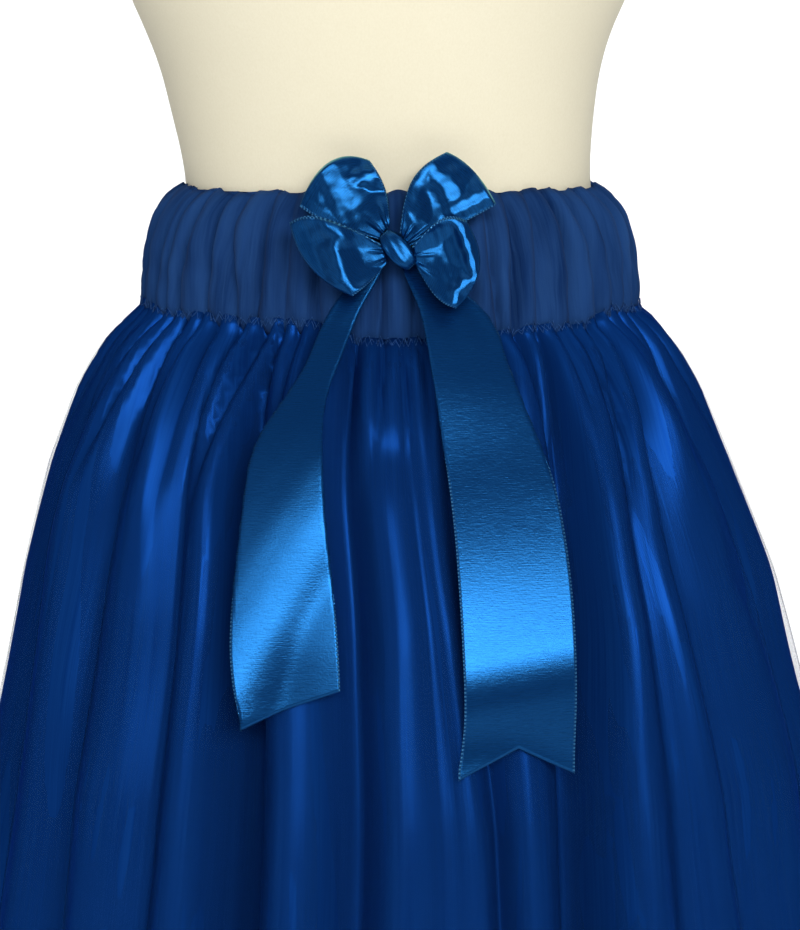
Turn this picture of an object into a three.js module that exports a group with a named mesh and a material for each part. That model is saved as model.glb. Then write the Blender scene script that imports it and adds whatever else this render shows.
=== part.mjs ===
// A gathered tutu skirt with a ruched elastic waistband and a ribbon bow,
// worn by a limbless dress form on a stand.
// Millimetres, +Z up.  The origin is the centre of the stand's underside and the front faces -Y.
// Angles run round the skirt in degrees from the front centre, positive towards +X.
// "drop" is a distance below the waist line, and is negative above it.
import * as THREE from 'three';

// ---------------------------------------------------------------- driving dimensions
const WAIST_HEIGHT = 770;
const BAND_TOP_DROP = -4;
const SEAM_DROP = 61;
const SEAM_SAG_FRONT = 6;
const HEM_DROP = 550;
const OVERLAY_EXTRA = 6;
const SEAM_GAP = 0.3;

const SATIN_WALL = 1.6;
const LAYER_GAP = 1.0;
const TULLE_WALL = 1.4;
const MITRE_FLOOR = 0.6;
const CREST_ALLOWANCE = 11;
const GATHER_HEIGHT = 1.7;
const GATHER_SHARE = 0.32;
const SAG_FADE = 120;

const BAND_CLEARANCE = 0.6;
const RUCHES_PER_SIDE = 25;
const RUCHE_HEIGHT = 2.0;
const RUCHE_WANDER = 2.4;
const RUCHE_UNEVEN = 0.9;
const RUCHE_WAVES = { fast: 2.3, slow: 0.9, slowShare: 0.5, wander: 1.7 };

const RIBBON_WALL = 1.2;
const TAIL_CLEARANCE = 0.9;
const TAIL_RUCHE_SHARE = 1.1;
const KNOT = { x: 4.4, y: -117.2, drop: 21.5, long: 10.9, narrow: 5.6, deep: 10.6, turn: 43 };
const KNOT_SPLIT = { sides: 12, rings: 8 };

const FORM_ROUNDNESS = 2.15;
const FORM_SIDES = 40;
const POLE = { radius: 16, sides: 24 };
const BASE = { radius: 180, rim: 6, bevel: 4, top: 16, flare: 10, neck: 8, sides: 40 };
const HUB = { radius: 34, top: 58 };
const CAP = { radius: 54, depth: 52, height: 12, bevel: 3, sides: 28 };

// ---------------------------------------------------------------- sections
// Half width across the crests, the ratio of depth to width and the sideways shift.
// "fold" and "gather" say how much of each shows.
const SKIRT_SECTIONS = [
  { drop: SEAM_DROP, half: 134, ratio: 0.8, side: 0, fold: 0.0, gather: 0.55 },
  { drop: 67, half: 142.8, ratio: 0.803, side: 0, fold: 0.12, gather: 0.9 },
  { drop: 80, half: 154, ratio: 0.82, side: 0, fold: 0.34, gather: 1.0 },
  { drop: 102, half: 168.3, ratio: 0.842, side: 0, fold: 0.6, gather: 0.85 },
  { drop: 140, half: 185.8, ratio: 0.868, side: 0.3, fold: 0.85, gather: 0.45 },
  { drop: 200, half: 206, ratio: 0.89, side: 4.6, fold: 1.0, gather: 0.12 },
  { drop: 290, half: 229, ratio: 0.908, side: 7, fold: 1.05, gather: 0.0 },
  { drop: 410, half: 250, ratio: 0.925, side: 7, fold: 1.2, gather: 0.0 },
  { drop: HEM_DROP, half: 268, ratio: 0.93, side: 7, fold: 1.4, gather: 0.0 },
];

// Drops at which a front fold's crest and trough angles are given.
const FOLD_DROPS = [SEAM_DROP, 110, 180, 280, HEM_DROP];

// One row a fold, left to right across the front.  Rise and dip are in mm off the mean surface.
const FRONT_FOLDS = [
  { crest: [-83, -81, -80, -79, -79], trough: [-71, -71, -68.5, -67.5, -67], rise: 8, dip: 13, gathers: 3 },
  { crest: [-62, -61.5, -62, -58.5, -58], trough: [-52, -51.5, -53, -51.5, -51], rise: 9, dip: 9, gathers: 3 },
  { crest: [-45, -43, -42.5, -42.8, -45], trough: [-37, -35.5, -35, -34.5, -36], rise: 9, dip: 5, gathers: 3 },
  { crest: [-32, -30.5, -28.5, -29.2, -30], trough: [-26, -25, -23.5, -22, -22], rise: 8, dip: 15, gathers: 2 },
  { crest: [-17.5, -17, -16, -14.8, -14], trough: [-8, -7.6, -6.6, -5.8, -7], rise: 7, dip: 9, gathers: 3 },
  { crest: [-1.5, -0.5, 0.4, 0, 0], trough: [3.4, 4.0, 4.5, 5.6, 6], rise: 6, dip: 0, gathers: 2 },
  { crest: [7.5, 6.2, 6.2, 8.8, 11], trough: [12, 10, 9.6, 12, 13.5], rise: 4, dip: 6, gathers: 2 },
  { crest: [22, 19, 16.8, 15.6, 15.8], trough: [34.5, 34, 29.8, 25.2, 23], rise: 8, dip: 17, gathers: 4 },
  { crest: [40, 39, 35.5, 32.4, 31], trough: [45.5, 43.5, 39.2, 38, 37], rise: 8, dip: 2, gathers: 2 },
  { crest: [49.5, 46.4, 42.6, 43, 47], trough: [53.5, 50, 47, 47.5, 51], rise: 8, dip: 6, gathers: 2 },
  { crest: [58, 57, 59.5, 60.3, 59], trough: [68, 66.5, 69.6, 70, 70], rise: 12, dip: 15, gathers: 3 },
  { crest: [79, 79, 79, 79, 79], trough: [90, 90, 90, 90, 90], rise: 8, dip: 10, gathers: 3 },
];

// One row a fold round the back, from the right side seam to the left one.
const BACK_FOLDS = [
  { crest: [98, 99, 99, 98, 98], trough: [106, 106, 107, 107, 106], rise: 8, dip: 12, gathers: 2 },
  { crest: [114, 114, 115, 116, 116], trough: [122, 122, 123, 124, 123], rise: 9, dip: 8, gathers: 2 },
  { crest: [129, 129, 130, 131, 131], trough: [136, 137, 137, 138, 139], rise: 7, dip: 14, gathers: 2 },
  { crest: [144, 144, 145, 146, 147], trough: [151, 152, 153, 153, 153], rise: 9, dip: 7, gathers: 2 },
  { crest: [159, 160, 160, 160, 160], trough: [167, 167, 168, 168, 167], rise: 8, dip: 15, gathers: 2 },
  { crest: [174, 175, 175, 175, 174], trough: [182, 182, 182, 181, 181], rise: 7, dip: 9, gathers: 2 },
  { crest: [190, 189, 189, 188, 188], trough: [197, 197, 196, 195, 195], rise: 9, dip: 13, gathers: 2 },
  { crest: [205, 204, 203, 203, 204], trough: [212, 211, 211, 212, 212], rise: 7, dip: 6, gathers: 2 },
  { crest: [220, 220, 219, 220, 220], trough: [228, 227, 227, 228, 228], rise: 9, dip: 15, gathers: 2 },
  { crest: [235, 234, 234, 235, 236], trough: [242, 242, 242, 243, 243], rise: 8, dip: 8, gathers: 2 },
  { crest: [249, 249, 250, 250, 250], trough: [256, 256, 256, 257, 257], rise: 8, dip: 12, gathers: 2 },
  { crest: [263, 263, 263, 264, 264], trough: [270, 270, 270, 270, 270], rise: 8, dip: 10, gathers: 2 },
];

// The satin is sewn from four panels and the tulle from two.
const FRONT_MIDDLE_FOLD = 5;
const BACK_MIDDLE_FOLD = 5;
const SATIN_PANELS = [
  { name: 'satin_front_left', from: 'left', to: 'frontMiddle' },
  { name: 'satin_front_right', from: 'frontMiddle', to: 'right' },
  { name: 'satin_back_right', from: 'right', to: 'backMiddle' },
  { name: 'satin_back_left', from: 'backMiddle', to: 'end' },
];
const TULLE_PANELS = [
  { name: 'tulle_front', from: 'left', to: 'right' },
  { name: 'tulle_back', from: 'right', to: 'end' },
];

// Outer half width of the ruched waistband and how much of a ruche stands out there.
const BAND_SECTIONS = [
  { drop: BAND_TOP_DROP, half: 110.6, ruche: 0.3 },
  { drop: -0.5, half: 116.0, ruche: 0.7 },
  { drop: 4, half: 119.8, ruche: 1.0 },
  { drop: 12, half: 124.6, ruche: 1.0 },
  { drop: 24, half: 128.2, ruche: 1.1 },
  { drop: 40, half: 130.6, ruche: 1.1 },
  { drop: 54, half: 132.2, ruche: 1.0 },
  { drop: SEAM_DROP, half: 132.6, ruche: 0.6 },
];
const BAND_RATIO = 0.8;
const BAND_LINING_DROPS = [BAND_TOP_DROP, 28, SEAM_DROP];
const RUCHE_SHARES = [1.0, 0.6, 1.25, 0.8, 1.1, 0.7, 1.3, 0.9, 0.65, 1.15, 0.75];

// The dress form's rings: half width, half depth, and the ring centre's sideways and forward shift.
const FORM_SECTIONS = [
  { drop: 234, half: 112, deep: 74, side: 0, ahead: 0 },
  { drop: 231, half: 128, deep: 87, side: 0, ahead: 0 },
  { drop: 222, half: 142, deep: 98, side: 0, ahead: 0 },
  { drop: 205, half: 150, deep: 105, side: 0, ahead: 0 },
  { drop: 180, half: 152, deep: 107, side: 0, ahead: 0 },
  { drop: 145, half: 148, deep: 105, side: 0, ahead: 0 },
  { drop: 100, half: 137.5, deep: 99, side: 0, ahead: 0 },
  { drop: 61, half: 125, deep: 92.5, side: 0, ahead: 0 },
  { drop: 28, half: 114.2, deep: 86.5, side: 0, ahead: 0 },
  { drop: 0, half: 107.8, deep: 82.8, side: -0.5, ahead: 0 },
  { drop: -20, half: 108.7, deep: 84, side: -2, ahead: 0.5 },
  { drop: -45, half: 112.4, deep: 87.5, side: -4, ahead: 1.5 },
  { drop: -65, half: 115.8, deep: 91, side: -5, ahead: 3 },
  { drop: -85, half: 122.2, deep: 95.5, side: -6, ahead: 4.5 },
  { drop: -105, half: 131.2, deep: 100.5, side: -5.8, ahead: 6 },
  { drop: -140, half: 139, deep: 107.5, side: -5.5, ahead: 8.5 },
  { drop: -175, half: 140.8, deep: 107, side: -5.2, ahead: 8 },
  { drop: -215, half: 140, deep: 98, side: -4.5, ahead: 5 },
  { drop: -255, half: 147.2, deep: 87, side: -4.8, ahead: 2 },
  { drop: -285, half: 155.6, deep: 77, side: -5.4, ahead: 0 },
  { drop: -308, half: 152, deep: 68, side: -6, ahead: -1 },
  { drop: -326, half: 128, deep: 61, side: -6, ahead: -1 },
  { drop: -340, half: 88, deep: 56, side: -6, ahead: 0 },
  { drop: -352, half: 63, deep: 53, side: -6, ahead: 1 },
  { drop: -370, half: 54, deep: 51, side: -6, ahead: 2 },
  { drop: -400, half: 51, deep: 49, side: -6, ahead: 3 },
];

// The bow's loops, from the knot's centre: x to the right, z up, and "stack" towards the viewer.
// The root is the pinched end at the knot, and heel, crown and toe lie along the ribbon's width at the far bend.
const BOW_LOOPS = [
  {
    name: 'bow_loop_upper_left',
    root: [[-9.4, 5], [-4, 11.6]],
    heel: [-51, 17],
    crown: [-36, 41],
    toe: [-14, 42],
    arch: { heel: 3, toe: 3 },
    stack: -6.2,
    puff: { front: 6.5, rear: 6 },
  },
  {
    name: 'bow_loop_upper_right',
    root: [[1.2, 7.8], [6, 1.4]],
    heel: [24, 46],
    crown: [37, 37],
    toe: [48, 21],
    arch: { heel: 8, toe: 1 },
    stack: -6.2,
    puff: { front: 6.5, rear: 6 },
  },
  {
    name: 'bow_loop_lower_left',
    root: [[-8.2, 3], [-5.2, -6]],
    heel: [-52, 13],
    crown: [-46, -9],
    toe: [-22, -21],
    arch: { heel: 10, toe: 1 },
    stack: 6.2,
    puff: { front: 11, rear: 4 },
  },
  {
    name: 'bow_loop_lower_right',
    root: [[7.2, 1.8], [9.2, -8.2]],
    heel: [36, 11],
    crown: [42, -10],
    toe: [28, -27],
    arch: { heel: 9, toe: 4 },
    stack: 6.2,
    puff: { front: 11, rear: 4 },
  },
];
const LOOP_STEPS = 14;
const LOOP_COLUMNS = 6;
const LOOP_SPREAD = 0.6;
const LOOP_PINCH = 1.1;
const LOOP_SWELL_POWER = 1.5;

// The ribbon tails: the left and right edge at each drop, and how far the ribbon stands off the skirt.
const TAIL_SECTIONS = {
  ribbon_tail_left: [
    { drop: 20, left: -6.5, right: 2, off: 0.6 },
    { drop: 32, left: -14, right: -2, off: 0.8 },
    { drop: 45, left: -25, right: -11, off: 1.0 },
    { drop: 56, left: -33, right: -17.6, off: 1.6 },
    { drop: 68, left: -36, right: -20, off: 1.4 },
    { drop: 84, left: -44, right: -29, off: 1.2 },
    { drop: 96, left: -54, right: -31.5, off: 1.4 },
    { drop: 112, left: -65.5, right: -31.7, off: 2.5 },
    { drop: 130, left: -68.3, right: -31, off: 4 },
    { drop: 150, left: -70.5, right: -29.4, off: 6 },
    { drop: 172, left: -73, right: -26.5, off: 7.5 },
    { drop: 196, left: -74.8, right: -24, off: 7 },
    { drop: 220, left: -73, right: -22.4, off: 4.5 },
  ],
  ribbon_tail_right: [
    { drop: 20, left: 3.2, right: 12, off: 0.6 },
    { drop: 31, left: 5, right: 20, off: 0.8 },
    { drop: 42, left: 12, right: 37, off: 1.2 },
    { drop: 54, left: 16.8, right: 52.3, off: 1.4 },
    { drop: 68, left: 18.5, right: 54.5, off: 1.2 },
    { drop: 86, left: 22.2, right: 61.5, off: 1.2 },
    { drop: 107, left: 24.8, right: 70.5, off: 3.0 },
    { drop: 130, left: 28.8, right: 79.6, off: 5 },
    { drop: 154, left: 31.5, right: 84, off: 8 },
    { drop: 178, left: 33, right: 86.5, off: 10 },
    { drop: 202, left: 34.5, right: 87.9, off: 9.5 },
    { drop: 226, left: 35.6, right: 88.4, off: 6.5 },
    { drop: 244, left: 35, right: 87.6, off: 4 },
  ],
};
const TAIL_ENDS = {
  ribbon_tail_left: { left: -67.8, right: -22.5, corner: 241, apex: 228.5, off: 2.4 },
  ribbon_tail_right: { left: 31.6, right: 87.7, corner: 262.5, apex: 249, off: 2.2 },
};
const TAIL_COLUMNS = 4;

// ---------------------------------------------------------------- small helpers
const radians = (degrees) => (degrees * Math.PI) / 180;

function between(rows, key, at, by = 'drop') {
  const rising = rows[rows.length - 1][by] > rows[0][by];
  const ordered = rising ? rows : [...rows].reverse();
  if (at <= ordered[0][by]) return ordered[0][key];
  for (let i = 1; i < ordered.length; i += 1) {
    const low = ordered[i - 1];
    const high = ordered[i];
    if (at <= high[by]) {
      const share = (at - low[by]) / (high[by] - low[by]);
      return low[key] + (high[key] - low[key]) * share;
    }
  }
  return ordered[ordered.length - 1][key];
}

function angleAt(angles, drop) {
  const rows = FOLD_DROPS.map((at, i) => ({ drop: at, angle: angles[i] }));
  return between(rows, 'angle', drop);
}

// Drop of the seam between waistband and skirt, lowest at the front centre.
function seamDrop(angle) {
  return SEAM_DROP + SEAM_SAG_FRONT * ((1 + Math.cos(radians(angle))) / 2) ** 2;
}

function formPoint(section, angle, clearance) {
  const turn = radians(angle);
  const across = Math.sin(turn);
  const along = Math.cos(turn);
  const power = 2 / FORM_ROUNDNESS;
  const x = Math.sign(across) * Math.abs(across) ** power * (section.half + clearance);
  const y = Math.sign(along) * Math.abs(along) ** power * (section.deep + clearance);
  return new THREE.Vector3(section.side + x, -section.ahead - y, WAIST_HEIGHT - section.drop);
}

function formSectionAt(drop) {
  const keys = ['half', 'deep', 'side', 'ahead'];
  const section = { drop };
  keys.forEach((key) => {
    section[key] = between(FORM_SECTIONS, key, drop);
  });
  return section;
}

// ---------------------------------------------------------------- solids from grids of points
// Triangles between two rows of points.  "inward" turns their faces round and keeps their diagonals.
function indexStrip(first, second, indices, inward = false) {
  const add = (a, b, c) => (inward ? indices.push(a, c, b) : indices.push(a, b, c));
  let i = 0;
  let j = 0;
  while (i < first.length - 1 || j < second.length - 1) {
    const nextFirst = (i + 1) / (first.length - 1);
    const nextSecond = (j + 1) / (second.length - 1);
    if (j >= second.length - 1 || (i < first.length - 1 && nextFirst <= nextSecond)) {
      add(first[i], first[i + 1], second[j]);
      i += 1;
    } else {
      add(first[i], second[j + 1], second[j]);
      j += 1;
    }
  }
}

function solidGeometry(points, indices) {
  const positions = new Float32Array(points.length * 3);
  points.forEach((p, i) => positions.set([p.x, p.y, p.z], i * 3));
  let volume = 0;
  for (let i = 0; i < indices.length; i += 3) {
    const [a, b, c] = [points[indices[i]], points[indices[i + 1]], points[indices[i + 2]]];
    volume += a.dot(new THREE.Vector3().crossVectors(b, c));
  }
  const outward = volume > 0 ? indices : [...indices].reverse();
  const geometry = new THREE.BufferGeometry();
  geometry.setAttribute('position', new THREE.BufferAttribute(positions, 3));
  geometry.setIndex(outward);
  geometry.computeVertexNormals();
  return geometry;
}

// A wall between an outer and an inner grid with the same number of columns, closed along all its edges.
function wallGeometry(outer, inner) {
  const columns = outer[0].length;
  const points = [...outer.flat(), ...inner.flat()];
  const outerAt = (row, column) => row * columns + column;
  const innerAt = (row, column) => (outer.length + row) * columns + column;
  const indices = [];
  const outerRow = (row) => outer[0].map((_, column) => outerAt(row, column));
  const innerRow = (row) => inner[0].map((_, column) => innerAt(row, column));
  const outerEdge = (column) => outer.map((_, row) => outerAt(row, column));
  const innerEdge = (column) => inner.map((_, row) => innerAt(row, column));
  for (let row = 1; row < outer.length; row += 1) indexStrip(outerRow(row - 1), outerRow(row), indices);
  for (let row = 1; row < inner.length; row += 1) indexStrip(innerRow(row - 1), innerRow(row), indices, true);
  indexStrip(innerRow(0), outerRow(0), indices);
  indexStrip(outerRow(outer.length - 1), innerRow(inner.length - 1), indices);
  indexStrip(outerEdge(0), innerEdge(0), indices);
  indexStrip(innerEdge(columns - 1), outerEdge(columns - 1), indices);
  return solidGeometry(points, indices);
}

// A closed body through rings that all have the same number of points.
function ringsGeometry(rings) {
  const sides = rings[0].length;
  const points = rings.flat();
  const indices = [];
  const wrap = (row) => [...Array(sides + 1).keys()].map((i) => row * sides + (i % sides));
  for (let row = 1; row < rings.length; row += 1) indexStrip(wrap(row - 1), wrap(row), indices);
  const centre = (ring) => ring.reduce((sum, p) => sum.add(p), new THREE.Vector3()).divideScalar(sides);
  const first = points.push(centre(rings[0])) - 1;
  const last = points.push(centre(rings[rings.length - 1])) - 1;
  const final = (rings.length - 1) * sides;
  for (let i = 0; i < sides; i += 1) {
    const next = (i + 1) % sides;
    indices.push(next, i, first);
    indices.push(final + i, final + next, last);
  }
  return solidGeometry(points, indices);
}

// Moves each point of a closed row sideways, square to the row and level.
// A point at a bend moves further, so that the wall stays even.
function movedRow(row, distance) {
  const count = row.length;
  return row.map((point, i) => {
    const back = new THREE.Vector3().subVectors(point, row[(i - 1 + count) % count]).setZ(0).normalize();
    const on = new THREE.Vector3().subVectors(row[(i + 1) % count], point).setZ(0).normalize();
    const way = back.clone().add(on).normalize();
    const normal = new THREE.Vector3(way.y, -way.x, 0);
    const mitre = 1 / Math.max(way.dot(on), MITRE_FLOOR);
    return point.clone().addScaledVector(normal, distance * mitre);
  });
}

// ---------------------------------------------------------------- the skirt's folded surface
// Every column follows its fold down the skirt: it has a fold, a share of the way across it, and a gather side.
function foldColumns() {
  const folds = [...FRONT_FOLDS, ...BACK_FOLDS];
  const columns = [];
  folds.forEach((fold, i) => {
    const before = folds[(i - 1 + folds.length) % folds.length];
    for (let step = 0; step < 2 * fold.gathers; step += 1) {
      columns.push({ fold, before, first: i === 0, step, share: step / fold.gathers });
    }
  });
  return columns;
}

function columnAngle(column, drop) {
  const crest = angleAt(column.fold.crest, drop);
  const start = angleAt(column.before.trough, drop) - (column.first ? 360 : 0);
  const end = angleAt(column.fold.trough, drop);
  if (column.share <= 1) return start + (crest - start) * column.share;
  return crest + (end - crest) * (column.share - 1);
}

function foldRow(columns, drop, sag) {
  const half = between(SKIRT_SECTIONS, 'half', drop);
  const ratio = between(SKIRT_SECTIONS, 'ratio', drop);
  const side = between(SKIRT_SECTIONS, 'side', drop);
  const folded = between(SKIRT_SECTIONS, 'fold', drop);
  const gathered = between(SKIRT_SECTIONS, 'gather', drop);
  const angles = columns.map((column) => columnAngle(column, drop));
  return columns.map((column, i) => {
    const { fold, before, share, step } = column;
    const angle = angles[i];
    const up = Math.sin((Math.PI / 2) * (share <= 1 ? share : 2 - share));
    const floor = share <= 1 ? -before.dip : -fold.dip;
    const main = (floor + (fold.rise - floor) * up) * folded;
    const next = angles[(i + 1) % columns.length] + (i === columns.length - 1 ? 360 : 0);
    const spacing = radians(next - angle) * half;
    const gather = Math.min(GATHER_HEIGHT, spacing * GATHER_SHARE) * (step % 2 ? 1 : -1) * gathered;
    const turn = radians(angle);
    const mean = half - CREST_ALLOWANCE * folded;
    const out = main + gather;
    const x = side + (mean + out) * Math.sin(turn);
    const y = -(mean * ratio + out) * Math.cos(turn);
    const lowered = drop + sag(angle);
    return new THREE.Vector3(x, y, WAIST_HEIGHT - lowered);
  });
}

// The seam's sag fades out below it, so that the rows stay in order.
function sagAt(drop) {
  const fade = Math.max(0, 1 - (drop - SEAM_DROP) / SAG_FADE);
  return (angle) => (seamDrop(angle) - SEAM_DROP) * fade + (drop === SEAM_DROP ? SEAM_GAP : 0);
}

const columns = foldColumns();
const satinRows = SKIRT_SECTIONS.map((section) => foldRow(columns, section.drop, sagAt(section.drop)));

// The column where a panel starts or ends: a side seam in a trough or a middle seam on a crest.
const crestOf = (fold) => columns.findIndex((column) => column.fold === fold && column.share === 1);
const seams = {
  left: 0,
  frontMiddle: crestOf(FRONT_FOLDS[FRONT_MIDDLE_FOLD]),
  right: columns.findIndex((column) => column.fold === BACK_FOLDS[0]),
  backMiddle: crestOf(BACK_FOLDS[BACK_MIDDLE_FOLD]),
  end: columns.length,
};

// One panel of a layer between two seams, with half the seam gap taken off each end.
function panelRows(rows, from, to) {
  return rows.map((row) => {
    const turned = [...row, row[0].clone()];
    const out = turned.slice(seams[from], seams[to] + 1).map((point) => point.clone());
    const trim = (end, beside) => {
      const way = new THREE.Vector3().subVectors(beside, end).setZ(0).normalize();
      end.addScaledVector(way, SEAM_GAP / 2);
    };
    trim(out[0], out[1]);
    trim(out[out.length - 1], out[out.length - 2]);
    return out;
  });
}

function layerRows(distance, extra) {
  const moved = satinRows.map((row) => movedRow(row, distance));
  if (extra > 0) {
    const last = moved[moved.length - 1];
    const above = moved[moved.length - 2];
    last.forEach((point, i) => {
      const way = new THREE.Vector3().subVectors(point, above[i]);
      point.addScaledVector(way, extra / Math.abs(way.z));
    });
  }
  return moved;
}

// ---------------------------------------------------------------- the ruched waistband
function bandAngles(side) {
  const steps = 2 * RUCHES_PER_SIDE;
  const start = side === 'front' ? -90 : 90;
  return [...Array(steps + 1).keys()].map((i) => {
    const edge = i === 0 || i === steps;
    const slow = RUCHE_WAVES.slowShare * Math.sin(i * RUCHE_WAVES.slow + 1);
    const uneven = edge ? 0 : RUCHE_UNEVEN * (Math.sin(i * RUCHE_WAVES.fast) + slow);
    return { angle: start + (180 * i) / steps + uneven, index: i, edge };
  });
}

function bandOuterRow(side, section) {
  return bandAngles(side).map(({ angle, index, edge }) => {
    const depthShare = (section.drop - BAND_TOP_DROP) / (SEAM_DROP - BAND_TOP_DROP);
    const sway = Math.sin(Math.PI * depthShare) * Math.sin(index * RUCHE_WAVES.wander);
    const wander = edge ? 0 : RUCHE_WANDER * sway;
    const turn = radians(angle + wander);
    const share = RUCHE_SHARES[index % RUCHE_SHARES.length];
    const ruche = (index % 2 ? 1 : -1) * RUCHE_HEIGHT * share * section.ruche;
    const drop = section.drop === SEAM_DROP ? seamDrop(angle) : section.drop;
    const x = (section.half + ruche) * Math.sin(turn);
    const y = -(section.half * BAND_RATIO + ruche) * Math.cos(turn);
    return new THREE.Vector3(x, y, WAIST_HEIGHT - drop);
  });
}

function bandInnerRow(side, lining) {
  return bandAngles(side).map(({ angle }) => {
    const drop = lining === SEAM_DROP ? seamDrop(angle) : lining;
    return formPoint(formSectionAt(drop), angle, BAND_CLEARANCE);
  });
}

function bandGeometry(side) {
  const outer = BAND_SECTIONS.map((section) => bandOuterRow(side, section));
  const inner = BAND_LINING_DROPS.map((drop) => bandInnerRow(side, drop));
  const trimmed = (rows) => rows.map((row) => {
    const shift = side === 'front' ? SEAM_GAP / 2 : -SEAM_GAP / 2;
    const lastIndex = row.length - 1;
    row[0].y -= shift;
    row[lastIndex].y -= shift;
    return row;
  });
  return wallGeometry(trimmed(outer), trimmed(inner));
}

// ---------------------------------------------------------------- the bow
function loopGeometry(loop) {
  const rows = [];
  const pointAt = (share, turn) => {
    const root = new THREE.Vector2(...loop.root[0]).lerp(new THREE.Vector2(...loop.root[1]), share);
    const heel = new THREE.Vector2(...loop.heel);
    const crown = new THREE.Vector2(...loop.crown);
    const toe = new THREE.Vector2(...loop.toe);
    const bulge = crown.clone().sub(heel.clone().add(toe).multiplyScalar(0.5)).multiplyScalar(2);
    const bend = heel.clone().lerp(toe, share).addScaledVector(bulge, 2 * share * (1 - share));
    const reach = (1 - Math.cos(turn)) / 2;
    const flat = root.clone().lerp(bend, reach);
    const width = toe.clone().sub(heel).normalize();
    const arch = loop.arch.toe * share ** 2 - loop.arch.heel * (1 - share) ** 2;
    flat.addScaledVector(width, arch * Math.sin(Math.PI * reach));
    const puff = turn < Math.PI ? loop.puff.front : loop.puff.rear;
    const swell = Math.sin(turn) * Math.sin(turn / 2) ** LOOP_SWELL_POWER * puff;
    const pinch = LOOP_PINCH * Math.cos(share * LOOP_COLUMNS * Math.PI) * (1 - reach);
    const apart = LOOP_SPREAD * 2 * Math.cos(turn / 2);
    const ahead = loop.stack + swell + pinch + apart;
    return new THREE.Vector3(KNOT.x + flat.x, KNOT.y - ahead, WAIST_HEIGHT - KNOT.drop + flat.y);
  };
  for (let step = 0; step <= LOOP_STEPS; step += 1) {
    const turn = (2 * Math.PI * step) / LOOP_STEPS;
    const row = [];
    for (let column = 0; column <= LOOP_COLUMNS; column += 1) row.push(pointAt(column / LOOP_COLUMNS, turn));
    rows.push(row);
  }
  return ribbonGeometry(rows);
}

// A ribbon of even thickness about a grid of points.
function ribbonGeometry(rows) {
  const last = { row: rows.length - 1, column: rows[0].length - 1 };
  const sideOf = (distance) => rows.map((row, r) => row.map((point, c) => {
    const below = rows[Math.min(r + 1, last.row)][c];
    const down = new THREE.Vector3().subVectors(below, rows[Math.max(r - 1, 0)][c]);
    const across = new THREE.Vector3().subVectors(row[Math.min(c + 1, last.column)], row[Math.max(c - 1, 0)]);
    const normal = new THREE.Vector3().crossVectors(across, down).normalize();
    return point.clone().addScaledVector(normal, distance);
  }));
  return wallGeometry(sideOf(RIBBON_WALL / 2), sideOf(-RIBBON_WALL / 2));
}

function skirtFrontY(x, drop, off) {
  const onBand = drop < SEAM_DROP;
  const ruched = RUCHE_HEIGHT * TAIL_RUCHE_SHARE;
  const bandHalf = between(BAND_SECTIONS, 'half', drop) + ruched;
  const half = onBand ? bandHalf : between(SKIRT_SECTIONS, 'half', drop);
  const ratio = onBand ? BAND_RATIO : between(SKIRT_SECTIONS, 'ratio', drop);
  const side = onBand ? 0 : between(SKIRT_SECTIONS, 'side', drop);
  const width = half + TAIL_CLEARANCE;
  const depth = half * ratio + TAIL_CLEARANCE;
  return -depth * Math.sqrt(1 - ((x - side) / width) ** 2) - off;
}

function tailGeometry(name) {
  const sections = TAIL_SECTIONS[name];
  const end = TAIL_ENDS[name];
  const rows = sections.map(({ drop, left, right, off }) => {
    const row = [];
    for (let column = 0; column <= TAIL_COLUMNS; column += 1) {
      const x = left + ((right - left) * column) / TAIL_COLUMNS;
      row.push(new THREE.Vector3(x, skirtFrontY(x, drop, off), WAIST_HEIGHT - drop));
    }
    return row;
  });
  const cut = [];
  for (let column = 0; column <= TAIL_COLUMNS; column += 1) {
    const share = column / TAIL_COLUMNS;
    const x = end.left + (end.right - end.left) * share;
    const drop = end.apex + (end.corner - end.apex) * Math.abs(2 * share - 1);
    cut.push(new THREE.Vector3(x, skirtFrontY(x, drop, end.off), WAIST_HEIGHT - drop));
  }
  return ribbonGeometry([...rows, cut]);
}

// ---------------------------------------------------------------- colours
const materials = {
  satin: { color: 0x0b3f86, roughness: 0.42, metalness: 0 },
  tulle: { color: 0x1d4f96, roughness: 0.7, metalness: 0 },
  band: { color: 0x183a6c, roughness: 0.85, metalness: 0 },
  ribbon: { color: 0x0f4f94, roughness: 0.3, metalness: 0 },
  cover: { color: 0xeae3c8, roughness: 0.9, metalness: 0 },
  stand: { color: 0xe4e0d6, roughness: 0.45, metalness: 0 },
  wood: { color: 0xb48a5a, roughness: 0.5, metalness: 0 },
};

function named(name, geometry, kind) {
  const mesh = new THREE.Mesh(geometry, new THREE.MeshStandardMaterial(materials[kind]));
  mesh.name = name;
  return mesh;
}

// ---------------------------------------------------------------- assembly
const skirt = new THREE.Group();
const satinInner = layerRows(-SATIN_WALL, 0);
SATIN_PANELS.forEach(({ name, from, to }) => {
  const wall = wallGeometry(panelRows(satinRows, from, to), panelRows(satinInner, from, to));
  skirt.add(named(name, wall, 'satin'));
});
const tulleInner = layerRows(LAYER_GAP, OVERLAY_EXTRA);
const tulleOuter = layerRows(LAYER_GAP + TULLE_WALL, OVERLAY_EXTRA);
TULLE_PANELS.forEach(({ name, from, to }) => {
  const wall = wallGeometry(panelRows(tulleOuter, from, to), panelRows(tulleInner, from, to));
  skirt.add(named(name, wall, 'tulle'));
});
['front', 'back'].forEach((side) => {
  skirt.add(named(`waistband_${side}`, bandGeometry(side), 'band'));
});

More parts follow.
